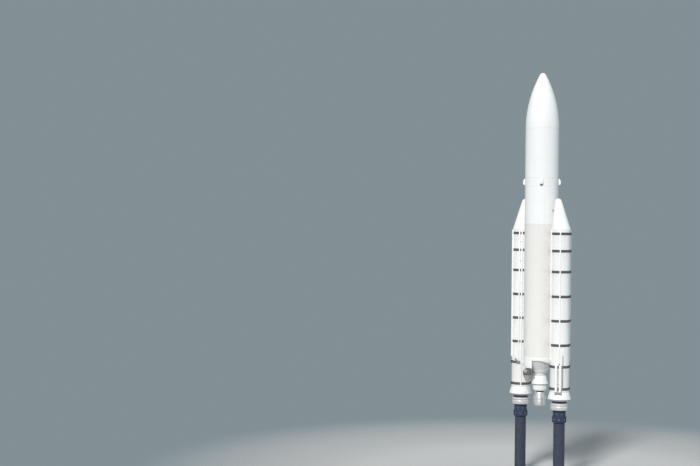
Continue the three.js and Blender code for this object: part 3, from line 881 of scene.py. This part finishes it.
def add_sphere():
    """The gas sphere with its cap, in a conical cradle on an arm, and the stout upright line beside it."""
    SPHERE_R, SPHERE_Z = 0.145, 3.360
    CAP_R, CAP_OUT, CAP_AT, CAP_UP = 0.078, 0.113, -71, 0.043
    at_sphere = shift(*around(SPHERE_OUT, SPHERE_AT, 0))
    centre = Vector((0, 0, SPHERE_Z))
    cap_centre = around(CAP_OUT, CAP_AT, SPHERE_Z + CAP_UP)
    outwards = (cap_centre - centre).normalized()  # from the sphere's middle to the cap's
    facing_cap = outwards.to_track_quat("Z", "Y").to_matrix().to_4x4()
    apart = cap_centre - centre
    meeting = (SPHERE_R**2 - CAP_R**2 + apart.length_squared) / (2 * apart.length)
    at_meeting = shift(*(centre + outwards * (meeting + 0.004))) @ facing_cap
    cap = moved(ball(CAP_R - 0.0005, 0), shift(*cap_centre))
    # A thick dark ring where the cap meets the sphere: painted shade under the cap's edge.
    cap_edge_shade_ring = moved(bead(CAP_R - 0.004, 0, 0.012, SMALL_SIDES), at_meeting)
    at_boss = shift(*(cap_centre + outwards * (CAP_R - 0.006))) @ facing_cap
    boss = moved(lathe(softened(rod(0.016, -0.01, 0.006), 0.002), 24), at_boss)
    weld = bead(SPHERE_R - 0.001, SPHERE_Z + 0.012, 0.0025, SMALL_SIDES)
    parts = (
        (joined(ball(SPHERE_R, SPHERE_Z), weld), SPHERE_GREY),
        (joined(cap, boss), CAP_GREY),
        (cap_edge_shade_ring, DARK),
    )
    piece("gas_sphere_shell", *parts, replaces=["gas_sphere"], place=at_sphere)

    low, high = span("sphere_cradle")
    SEAT_GAP, STEPS = 0.0008, 10
    seat = SPHERE_R + SEAT_GAP
    cup = [(0, SPHERE_Z - seat)]
    rim_angle = math.acos((SPHERE_Z - high) / seat)
    for n in range(1, STEPS + 1):
        a = rim_angle * n / STEPS
        cup.append((seat * math.sin(a), SPHERE_Z - seat * math.cos(a)))
    cone = [(0, low), (0.042, low), (0.046, low + 0.010), (0.136, high - 0.014)]
    cone += [(0.140, high - 0.010), (0.140, high)]
    shell = lathe(softened(cone, 0.002) + cup[::-1], SMALL_SIDES)
    ARM_NEAR, ARM_FAR, ARM_HALF, ARM_LOW, ARM_HIGH = 0.196, 0.405, 0.045, 3.190, 3.226
    arm = box((ARM_NEAR, ARM_FAR), (-ARM_HALF, ARM_HALF), (ARM_LOW, ARM_HIGH), 0.004)
    arm = moved(arm, turn(SPHERE_AT))
    rivets = ring_of(screw_head(0.004), 12, 0.139, high - 0.006)
    cradle = joined(moved(joined(shell, rivets), at_sphere), arm)
    piece("sphere_cradle_cup", (cradle, MID_GREY), replaces=["sphere_cradle"])

    low, high = span("sphere_line")
    flange_r = half_width("sphere_line")
    r = flange_r - 0.005
    FLANGE = 0.014
    profile = [(0, low), (flange_r, low), (flange_r, low + FLANGE), (r, low + FLANGE + 0.003), (r, high)]
    at = middle("sphere_line")
    pipe = moved(lathe(softened(profile + [(0, high)], 0.002), SMALL_SIDES), shift(at.x, at.y))
    piece("sphere_line_pipe", (pipe, STRUT_GREY), replaces=["sphere_line"])


# Boosters, each built about its own axis with the core towards -X

SIDES = {"right": shift(BOOSTER_X), "left": shift(-BOOSTER_X) @ turn(180)}


def right(piece_name):
    """Heights of a booster's piece, the same on both sides."""
    return span("booster_right_" + piece_name)


def leant(part):
    verts, faces = part
    return [(x - NOSE_LEAN * (z - NOSE_BASE), y, z) for x, y, z in verts], faces


def booster_nose():
    """A round-tipped cone that leans towards the core, with screws round its foot."""
    BALL_STEPS = 14
    rise = NOSE_TIP - NOSE_BASE - BOOSTER_TIP_R
    flank = math.atan2(BOOSTER_R, rise) - math.asin(BOOSTER_TIP_R / math.hypot(BOOSTER_R, rise))
    profile = [(0, NOSE_BASE), (BOOSTER_R - JOINT, NOSE_BASE), (BOOSTER_R, NOSE_BASE + JOINT)]
    for n in range(BALL_STEPS):
        a = flank + (math.pi / 2 - flank) * n / BALL_STEPS
        profile.append((BOOSTER_TIP_R * math.cos(a), NOSE_BASE + rise + BOOSTER_TIP_R * math.sin(a)))
    profile.append((0, NOSE_TIP))
    SCREWS, UP = 36, 0.025
    screws = ring_of(screw_head(0.005), SCREWS, BOOSTER_R - UP * math.tan(flank) - 0.001, NOSE_BASE + UP)
    return leant(joined(lathe(profile), screws))


def booster_bands():
    """Dark bands with rounded edges, two rows of screws in each, and the steel rail that joins them.

    Each band carries an upright cheek along one wall of each side raceway.
    """
    SCREWS, RAIL_HALF, RAIL_DEPTH, EDGE = 24, 0.015, 0.0025, 0.012
    CHEEK_NEAR, CHEEK_FAR, CHEEK_RISE = -0.0222, -0.0172, 0.037
    CROWN, CROWN_STEPS = 0.0028, 5
    half = BAND_HEIGHT / 2
    inner = BOOSTER_R - 0.002
    parts = []
    for z in BAND_CENTRES:
        crown = []
        for n in range(-CROWN_STEPS, CROWN_STEPS + 1):
            t = n / CROWN_STEPS
            crown.append((BAND_R - CROWN * t**2, z + half * t))
        parts.append(lathe([(inner, z - half), *crown, (inner, z + half), (inner, z - half)]))
        for up in (EDGE - half, half - EDGE):
            parts.append(ring_of(screw_head(0.003), SCREWS, BAND_R - CROWN * 0.6, z + up, 4.0))
        x, y = (BAND_R - 0.001, ON_BAND + CHEEK_RISE), (CHEEK_NEAR, CHEEK_FAR)
        cheek = box(x, y, (z - half, z + half), 0.001)
        parts += [moved(cheek, turn(at)) for at in SIDE_RACEWAYS_AT]
    x, z = (inner, BOOSTER_R + RAIL_DEPTH), (BAND_CENTRES[-1], BAND_CENTRES[0])
    return joined(moved(box(x, (-RAIL_HALF, RAIL_HALF), z, 0.0008), turn(RAIL_AT)), *parts)


def channel(width, height, low, high):
    """A closed channel on two flanges, with ramped ends, joint straps and screws.

    Its flanges lie on the bands at x = 0, and their edges are turned down to the case.
    """
    FLANGE, THICK, RAMP, STRAP, END = 0.006, 0.003, 0.05, 0.022, 0.35
    TO_CASE = BOOSTER_R - ON_BAND - 0.001

    def outline(top, proud=0.0):
        side = width / 2
        wall = side - FLANGE + proud
        corner = min(0.006, top / 3)
        right_half = [(TO_CASE, -side), (THICK, -side), (THICK, -wall), (top - corner, -wall)]
        right_half.append((top, corner - wall))
        return right_half + [(x, -y) for x, y in right_half[::-1]]

    end, full = outline(height * END), outline(height)
    body = stacked([(end, low), (full, low + RAMP), (full, high - RAMP), (end, high)])
    parts = [bevelled(body, 0.001, 1)]
    for upper, lower in zip(BAND_CENTRES, BAND_CENTRES[1:]):
        z = (upper + lower) / 2
        if low + RAMP < z < high - RAMP:
            strap = outline(height - 0.0002, 0.002)
            parts.append(block(strap, z - STRAP / 2, z + STRAP / 2, 0.0006, 1))
    PITCH = 0.16
    length = high - low - 2 * RAMP
    count = int(length / PITCH)
    for n in range(count):
        z = low + RAMP + (n + 0.5) * length / count
        sides = [side * (width - FLANGE) / 2 for side in (-1, 1)]
        parts.append(on_face(screw_head(0.0026), THICK - 0.0003, sides, (z,)))
    return joined(*parts)


def raceways():
    """The flat raceway over the rail and the two deeper ones at the booster's sides."""
    # direction, width, height
    rows = [(RAIL_AT, 0.042, 0.018)] + [(at, 0.046, 0.040) for at in SIDE_RACEWAYS_AT]
    made = []
    for n, (at, width, height) in enumerate(rows, start=1):
        low, high = right(f"raceway_{n}")
        made.append(moved(channel(width, height, low, high), turn(at) @ shift(ON_BAND)))
    return made


def ducts():
    """A short and a long duct side by side under clamps, with a cover plate beside the junction box."""
    WIDTH, HEIGHT, RAMP, END, CORNER = 0.042, 0.016, 0.02, 0.4, 0.005
    low, high = right("ducts")
    box_top = 3.672

    def outline(top):
        side, corner = WIDTH / 2, min(CORNER, top / 3)
        half = [(0, -side), (top - corner, -side), (top, corner - side)]
        return half + [(x, -y) for x, y in half[::-1]]

    def duct(at, foot):
        end, full = outline(HEIGHT * END), outline(HEIGHT)
        body = stacked([(end, foot), (full, foot + RAMP), (full, high - RAMP), (end, high)])
        return moved(bevelled(body, 0.0015), turn(at) @ shift(ON_BAND))

    parts = [duct(SHORT_DUCT_AT, box_top), duct(LONG_DUCT_AT, low)]
    CLAMPS = (4.000, 4.710, 5.480, 6.260, 6.980, 7.590)
    CLAMP_HALF, CLAMP_ANGLE, SADDLE = 0.012, 12.2, 0.0010
    centre = (SHORT_DUCT_AT + LONG_DUCT_AT) / 2
    start, end = centre - CLAMP_ANGLE, centre + CLAMP_ANGLE
    top = ON_BAND + HEIGHT + SADDLE
    for z in CLAMPS:
        clamp = curved_plate(ON_BAND, top, start, end, z - CLAMP_HALF, z + CLAMP_HALF, 10)
        parts.append(bevelled(clamp, 0.001))
        parts.append(moved(screw_head(0.005), facing_out(centre, top - 0.0003, z)))
    COVER_AT, COVER_HALF, COVER_DEPTH, SCREW_Y, SCREW_IN = 145, 0.045, 0.008, 0.036, 0.012
    cover_low, cover_high = 3.580, 3.684
    plate = box((0, COVER_DEPTH), (-COVER_HALF, COVER_HALF), (cover_low, cover_high), 0.0015)
    heights = (cover_low + SCREW_IN, cover_high - SCREW_IN)
    screws = on_face(screw_head(0.004), COVER_DEPTH - 0.0002, (-SCREW_Y, SCREW_Y), heights)
    parts.append(moved(joined(plate, screws), turn(COVER_AT) @ shift(ON_BAND)))
    return joined(*parts)


def tubes():
    """Two upright tubes with domed ends, held by straps round each and a web between them.

    They stand on a grey shoe on the skirt, a block whose grey is the painted shadow of the tubes' lower ends.
    The parts are white, zinc and grey.
    """
    R, END_R, DOME, STRAP_HALF, STRAP_IN, STRAP_OUT = 0.042, 0.026, 0.026, 0.016, 0.002, 0.0015
    low, high = right("tubes")
    wall = [(0, low), (END_R, low), (R, low + DOME), (R, high - DOME), (END_R, high), (0, high)]
    one = [lathe(softened(wall, 0.03, 6), SMALL_SIDES)]
    STRAPS = (3.120, 3.520)
    for z in STRAPS:
        rim = hoop(R - STRAP_IN, R + STRAP_OUT, z - STRAP_HALF, z + STRAP_HALF)
        one.append(lathe(softened(rim, 0.001), SMALL_SIDES))
    pair = copies(joined(*one), [turn(at) @ shift(BAND_R + R) for at in TUBES_AT])
    centre = sum(TUBES_AT) / 2
    WEB_IN, WEB_OUT, WEB_HALF = ON_BAND + 0.014, ON_BAND + 0.022, 0.052
    webs, bolts = [], []
    for z in STRAPS:
        web = box((WEB_IN, WEB_OUT), (-WEB_HALF, WEB_HALF), (z - STRAP_HALF, z + STRAP_HALF), 0.001)
        webs.append(moved(web, turn(centre)))
        bolts.append(moved(hex_bolt(0.007, 0.006), facing_out(centre, WEB_OUT, z)))
    # The shoe is a grey block whose grey paints the shadow that the tubes' lower ends cast on the skirt.
    SHADOW_SHOE_HALF, SHADOW_SHOE_FOOT, SHADOW_SHOE_NEAR, SHADOW_SHOE_FAR = 0.112, 2.768, 0.300, 0.386
    side = [(SHADOW_SHOE_NEAR, SHADOW_SHOE_FOOT), (0.350, SHADOW_SHOE_FOOT), (SHADOW_SHOE_FAR, low - 0.020), (SHADOW_SHOE_FAR, low)]
    shadow_shoe = upright_plate(side + [(SHADOW_SHOE_NEAR, low)], 2 * SHADOW_SHOE_HALF, 0.003)
    return joined(pair, *webs), joined(*bolts), moved(shadow_shoe, turn(centre))


def feed_pipe():
    """A thin upright pipe on the bands, whose ends bend in to the case, with a clip on each band."""
    R, BEND, STEPS, SUNK = 0.010, 0.03, 6, 0.012
    CLIP_HALF, CLIP_ANGLE, FOOT_ANGLE, SCREW_ANGLE, FOOT_DEPTH = 0.008, 1.9, 4.2, 3.2, 0.002
    low, high = right("feed_pipe")
    out = middle("booster_right_feed_pipe") - Vector((BOOSTER_X, 0, 0))
    out = math.hypot(out.x, out.y)
    inner = BOOSTER_R - SUNK
    bend = min(BEND, out - inner)
    quarter = [math.pi / 2 * n / STEPS for n in range(STEPS + 1)]
    points = [(inner - 0.005, low + R)]
    for a in quarter:
        points.append((out - bend + bend * math.sin(a), low + R + bend - bend * math.cos(a)))
    for a in quarter:
        points.append((out - bend + bend * math.cos(a), high - R - bend + bend * math.sin(a)))
    points.append((inner - 0.005, high - R))
    pipe = sweep([around(r, FEED_PIPE_AT, z) for r, z in points], R, 16)
    clips, screws = [], []

    def strip(top, angle, z, steps):
        return curved_plate(
            BAND_R, top, FEED_PIPE_AT - angle, FEED_PIPE_AT + angle, z - CLIP_HALF, z + CLIP_HALF, steps
        )

    for z in BAND_CENTRES[-2:]:
        clips.append(bevelled(strip(BAND_R + 2 * R + 0.001, CLIP_ANGLE, z, 4), 0.003))
        clips.append(strip(BAND_R + FOOT_DEPTH, FOOT_ANGLE, z, 6))
        for aside in (-SCREW_ANGLE, SCREW_ANGLE):
            screws.append(moved(screw_head(0.004), facing_out(FEED_PIPE_AT + aside, BAND_R + 0.0018, z)))
    return pipe, joined(*clips, *screws)


def junction_box():
    """The box under the short duct, with a lid, and the dark bar that slants up from its far end."""
    DEPTH, HALF, SECTION, SCREW_Y, SCREW_Z = 0.030, 0.059, 0.026, 0.049, 0.011
    BAR_OUT, BAR_FROM, BAR_TO, BAR_RISE = 0.328, 117, 100, 0.080
    low, top = 3.588, 3.672
    body = box((0, DEPTH - 0.004), (-HALF, HALF), (low, top), 0.003)
    lid_y, lid_z = (-HALF + 0.002, HALF - 0.002), (low + 0.002, top - 0.002)
    lid = box((DEPTH - 0.0045, DEPTH), lid_y, lid_z, 0.0012)
    heights = (low + SCREW_Z, top - SCREW_Z)
    screws = on_face(screw_head(0.0035), DEPTH - 0.0002, (-SCREW_Y, SCREW_Y), heights)
    start = around(BAR_OUT, BAR_FROM, top - SECTION / 2)
    end = around(BAR_OUT, BAR_TO, top + BAR_RISE)
    along = (end - start).to_track_quat("Z", "Y").to_matrix().to_4x4()
    half = SECTION / 2
    bar = box((-half, half), (-half, half), (0, (end - start).length), 0.003)
    bar = moved(bar, shift(*start) @ along)
    return moved(joined(body, lid, screws), turn(SHORT_DUCT_AT) @ shift(ON_BAND)), bar


def skirt():
    """A straight flare with a sharp rim, hollowed a little below, and a double row of screws at its head."""
    low, high = right("skirt")
    LIP, HOLLOW, HEAD_R, RIM_R = 0.008, 0.012, 0.310, half_width("booster_right_skirt")
    wall = [(0, low + HOLLOW), (RIM_R - 0.010, low + HOLLOW), (RIM_R - 0.005, low), (RIM_R - 0.0008, low)]
    wall += [(RIM_R, low + 0.001), (RIM_R, low + LIP), (HEAD_R, high), (0, high)]
    SCREWS = 40
    slope = (RIM_R - HEAD_R) / (high - low - LIP)
    rows = [(SCREWS, HEAD_R + slope * down - 0.001, high - down) for down in (0.012, 0.036)]
    return lathe(wall), rows


def neck():
    """A shallow cone below the skirt and a throat below that, as two parts; the throat's dark colour is
    painted shade in the recess under the skirt.
    """
    low, high = right("neck")
    MEETING = high - 0.070
    MEETING_R, HEAD_R, INTO_SKIRT = 0.232, 0.306, high + 0.012
    cone = [(0, MEETING), (MEETING_R, MEETING), (HEAD_R, high - 0.001), (HEAD_R, INTO_SKIRT), (0, INTO_SKIRT)]
    painted_shade_throat = [(0, low), (0.222, low), (MEETING_R, MEETING), (0, MEETING)]
    return lathe(softened(cone)), lathe(painted_shade_throat)


def nozzle():
    """Two bulging rings with a groove between them and small bolts in the groove."""
    low, high = right("nozzle")
    GROOVE_Z = 2.375
    lower = [(0.258, low), (0.276, low + 0.016), (0.281, low + 0.040), (0.281, 2.345), (0.271, 2.362)]
    upper = [(0.269, 2.388), (0.279, 2.402), (0.279, 2.425), (0.262, 2.448), (0.232, high)]
    wall = [(0, low), *lower, (0.264, GROOVE_Z), *upper, (0, high)]
    return joined(lathe(softened(wall, 0.012, 4)), ring_of(screw_head(0.006), 24, 0.2635, GROOVE_Z))


def forward_strut():
    """A slim bar from the nose to the core with a plate at each end."""
    low, high = right("forward_strut")
    HALF, PLATE = 0.018, 0.034
    z = (low + high) / 2
    near = CORE_R - BOOSTER_X
    nose_radius = BOOSTER_R * (NOSE_TIP - z) / (NOSE_TIP - NOSE_BASE)
    far = -NOSE_LEAN * (z - NOSE_BASE) - nose_radius
    bar = box((near - 0.004, far + 0.05), (-HALF, HALF), (low, high), 0.003)
    plate = box((near - 0.010, near + 0.006), (-PLATE, PLATE), (z - PLATE, z + PLATE), 0.002)
    pair = (-0.026, 0.026)
    bolts = on_face(hex_bolt(0.006, 0.005), near + 0.006, pair, [z + up for up in pair])
    return joined(bar, plate, bolts)


def aft_strut():
    """A deep bracket between the case and the core, with flanges and bolts."""
    low, high = right("aft_strut")
    HALF, INSET, FLANGE, SCREW_IN = 0.075, 0.014, 0.012, 0.018
    near, far = CORE_R - BOOSTER_X, -BOOSTER_R
    x = (near - 0.02, far + 0.03)
    web = box(x, (INSET - HALF, HALF - INSET), (low + 0.006, high - 0.006), 0.003)
    top = box(x, (-HALF, HALF), (high - FLANGE, high), 0.003)
    base = box(x, (-HALF, HALF), (low, low + FLANGE), 0.003)
    bolt, z = hex_bolt(0.008, 0.006), (low + high) / 2
    bolts = []
    for side in (-1, 1):
        for x in (near + SCREW_IN, far - SCREW_IN):
            bolts.append(moved(bolt, shift(x, side * (HALF - INSET), z) @ turn(-90 * side, "X")))
    return joined(web, top, base), joined(*bolts)


def add_boosters():
    band_parts = booster_bands()
    raceway_parts = raceways()
    tube_parts, tube_bolts, tube_shadow_shoe = tubes()
    pipe, clips = feed_pipe()
    junction, bar = junction_box()
    skirt_part, skirt_screws = skirt()
    cone, painted_shade_throat = neck()
    aft, aft_bolts = aft_strut()
    case_low, case_high = right("case")
    case = drum(BOOSTER_R, case_low, case_high, BOOSTER_SIDES, seams=(180,))
    # node, name of the piece, parts with their finish
    table = [
        ("nose", "nose_shell", [(booster_nose(), WHITE)]),
        ("case", "case_shell", [(case, CASE_WHITE)]),
        ("bands", "band_hoops", [(band_parts, BAND)]),
        ("ducts", "duct_covers", [(ducts(), WHITE)]),
        # the tubes' grey shoe is painted shadow
        ("tubes", "tube_pair", [(tube_parts, WHITE), (tube_bolts, ZINC), (tube_shadow_shoe, MID_GREY)]),
        ("feed_pipe", "feed_line", [(pipe, GREY), (clips, ZINC)]),
        ("bracket", "junction_box", [(junction, GREY), (bar, SPHERE_GREY)]),
        ("skirt", "skirt_shell", [(skirt_part, LOWER_WHITE)]),
        # the throat's dark colour is painted shade under the skirt
        ("neck", "neck_rings", [(cone, LIGHT_GREY), (painted_shade_throat, DARK)]),
        ("nozzle", "nozzle_rings", [(nozzle(), NOZZLE_GREY)]),
        ("forward_strut", "forward_bar", [(forward_strut(), STRUT_GREY)]),
        ("aft_strut", "aft_bracket", [(aft, GREY), (aft_bolts, ZINC)]),
    ]
    for n, part in enumerate(raceway_parts, start=1):
        table.append((f"raceway_{n}", f"raceway_cover_{n}", [(part, WHITE)]))
    for side, place in SIDES.items():
        prefix = f"booster_{side}_"
        for node, name, parts in table:
            piece(prefix + name, *parts, replaces=[prefix + node], place=place)
        screws_round(prefix + "skirt_screws", LOWER_WHITE, skirt_screws, place=place)


# Stand


def collar():
    """A two-step steel collar with galvanised bolts round both steps."""
    low, high = span("collar_right")
    STEP_R, HEAD_R, TOP_R = 0.228, 0.204, 0.198
    wall = [(0.222, low), (STEP_R, low + 0.008), (STEP_R, 2.028), (HEAD_R, 2.040), (HEAD_R, 2.184)]
    wall += [(TOP_R, 2.190), (TOP_R, high)]
    BOLTS = 8
    lower = ring_of(hex_bolt(0.011, 0.009), BOLTS, 0.2275, 1.945)
    upper = ring_of(hex_bolt(0.009, 0.008), BOLTS, 0.2035, 2.115, 22.5)
    return lathe(softened([(0, low), *wall, (0, high)])), joined(lower, upper)


def post():
    """A round tube with a weld at its head and its foot and a faint seam down one side."""
    low, high = span("post_right")
    tube = drum(POST_R, low, high, BOOSTER_SIDES, seams=(90,))
    return joined(tube, bead(POST_R, high - 0.004, 0.005), bead(POST_R, low + 0.004, 0.008))


def foot():
    """A square plate with four gussets and their welds, and its anchor bolts."""
    low, high = span("foot_right")
    PLATE_TOP = span("post_right")[0]
    HALF = half_width("foot_right")
    plate = box((-HALF, HALF), (-HALF, HALF), (low, PLATE_TOP), 0.004)
    near, GUSSET_OUT, GUSSET_RIM = POST_R - 0.001, 0.285, 0.030
    outline = [(near, PLATE_TOP - 0.001), (GUSSET_OUT, PLATE_TOP - 0.001)]
    outline += [(GUSSET_OUT, PLATE_TOP + GUSSET_RIM), (near + 0.030, high), (near, high)]
    gusset = upright_plate(outline, 0.016, 0.002)
    WELD, SIDE = 0.005, 0.009
    welds = []
    for side in (-SIDE, SIDE):
        z, x = PLATE_TOP + WELD / 2, near + WELD / 2
        welds.append(sweep([(near, side, z), (GUSSET_OUT, side, z)], WELD, 8))
        welds.append(sweep([(x, side, PLATE_TOP), (x, side, high)], WELD, 8))
    fin = joined(gusset, *welds)
    steel = joined(plate, copies(fin, [turn(90 * n) for n in range(4)]))
    STUD, STUD_RISE, OUT, ASIDE = 0.012, 0.055, 0.245, 0.130
    stud = lathe(softened(rod(STUD, 0, STUD_RISE), 0.002), 20)
    spots = [(x * OUT, y * ASIDE) for x in (-1, 1) for y in (-1, 1)]
    spots += [(x * ASIDE, y * OUT) for x in (-1, 1) for y in (-1, 1)]
    anchor = joined(hex_bolt(0.020, 0.020), stud)
    return steel, copies(anchor, [shift(x, y, PLATE_TOP) for x, y in spots])


def add_stand():
    collar_part, collar_bolts = collar()
    foot_part, anchors = foot()
    post_part = post()
    # node, name of the piece, parts with their finish
    table = (
        ("collar", "steel", [(collar_part, BLUE), (collar_bolts, ZINC)]),
        ("post", "tube", [(post_part, BLUE)]),
        ("foot", "plate", [(foot_part, BLUE), (anchors, ZINC)]),
    )
    for side, place in SIDES.items():
        for node, name, parts in table:
            piece(f"{node}_{side}_{name}", *parts, replaces=[f"{node}_{side}"], place=place)


# Floor, light and camera


def add_stage():
    """A pale round floor that fades out into the plain surroundings."""
    RADIUS, THICK, BELOW = 14.0, 0.02, 0.001
    top = GROUND - BELOW
    disc = lathe(rod(RADIUS, top - THICK, top), 128)
    mesh = bpy.data.meshes.new("floor")
    mesh.from_pydata(disc[0], [], disc[1])
    floor = bpy.data.objects.new("floor", mesh)
    bpy.context.scene.collection.objects.link(floor)
    material = bpy.data.materials.new("pale_floor")
    material.use_nodes = True
    n = Nodes(material.node_tree)
    shader = material.node_tree.nodes["Principled BSDF"]
    shader.inputs["Base Color"].default_value = (0.55, 0.55, 0.54, 1)
    shader.inputs["Roughness"].default_value = 0.8
    coords = n.add("ShaderNodeTexCoord")
    distance = n.add("ShaderNodeVectorMath", operation="LENGTH")
    n.link(coords, "Object", distance, 0)
    fade = n.ranged(distance, "Value", RADIUS * 0.35, RADIUS * 0.98, 1.0, 0.0)
    fade.interpolation_type = "SMOOTHSTEP"
    n.link(fade, 0, shader, "Alpha")
    mesh.materials.append(material)


def add_light():
    world = bpy.data.worlds.new("surroundings")
    world.use_nodes = True
    background = world.node_tree.nodes["Background"]
    background.inputs["Color"].default_value = (0.225, 0.28, 0.305, 1)
    background.inputs["Strength"].default_value = 1.0
    bpy.context.scene.world = world
    # name, strength, softness, direction and height in degrees, colour
    lamps = (
        ("key", 3.2, 12, -58, 38, (1.0, 0.965, 0.955)),
        ("left", 0.32, 60, -130, 25, (1.0, 0.96, 0.92)),
        ("right", 0.57, 60, 30, 25, (1.0, 0.95, 0.99)),
    )
    for name, strength, angle, direction, height, colour in lamps:
        lamp = bpy.data.lights.new(name, "SUN")
        lamp.energy = strength
        lamp.angle = math.radians(angle)
        lamp.color = colour
        made = bpy.data.objects.new(name, lamp)
        bpy.context.scene.collection.objects.link(made)
        out = math.cos(math.radians(height))
        towards = around(out, direction, math.sin(math.radians(height)))
        made.rotation_mode = "QUATERNION"
        made.rotation_quaternion = towards.to_track_quat("Z", "Y")


def add_camera():
    """The photograph's viewpoint: far off and level, with the model right of the middle of the frame."""
    AZIMUTH = 46.65
    DISTANCE = 45.65
    HEIGHT = 8.363
    PAN = 7.798
    TILT = -0.695
    ROLL = 0.50
    LENS = 71.87
    a = math.radians(AZIMUTH)
    data = bpy.data.cameras.new("camera")
    data.lens = LENS
    data.sensor_width = 36.0
    data.clip_end = 500.0
    camera = bpy.data.objects.new("camera", data)
    bpy.context.scene.collection.objects.link(camera)
    at = shift(math.sin(a) * DISTANCE, -math.cos(a) * DISTANCE, HEIGHT)
    camera.matrix_world = at @ turn(AZIMUTH + PAN) @ turn(90 + TILT, "X") @ turn(ROLL)
    bpy.context.scene.camera = camera


bpy.context.scene.view_settings.view_transform = "Standard"
add_camera()
add_core()
add_pods()
add_thrust_cone()
add_engine_shells()
add_engine_nozzle()
add_actuators()
add_hood()
add_sphere()
add_boosters()
add_stand()
add_stage()
add_light()
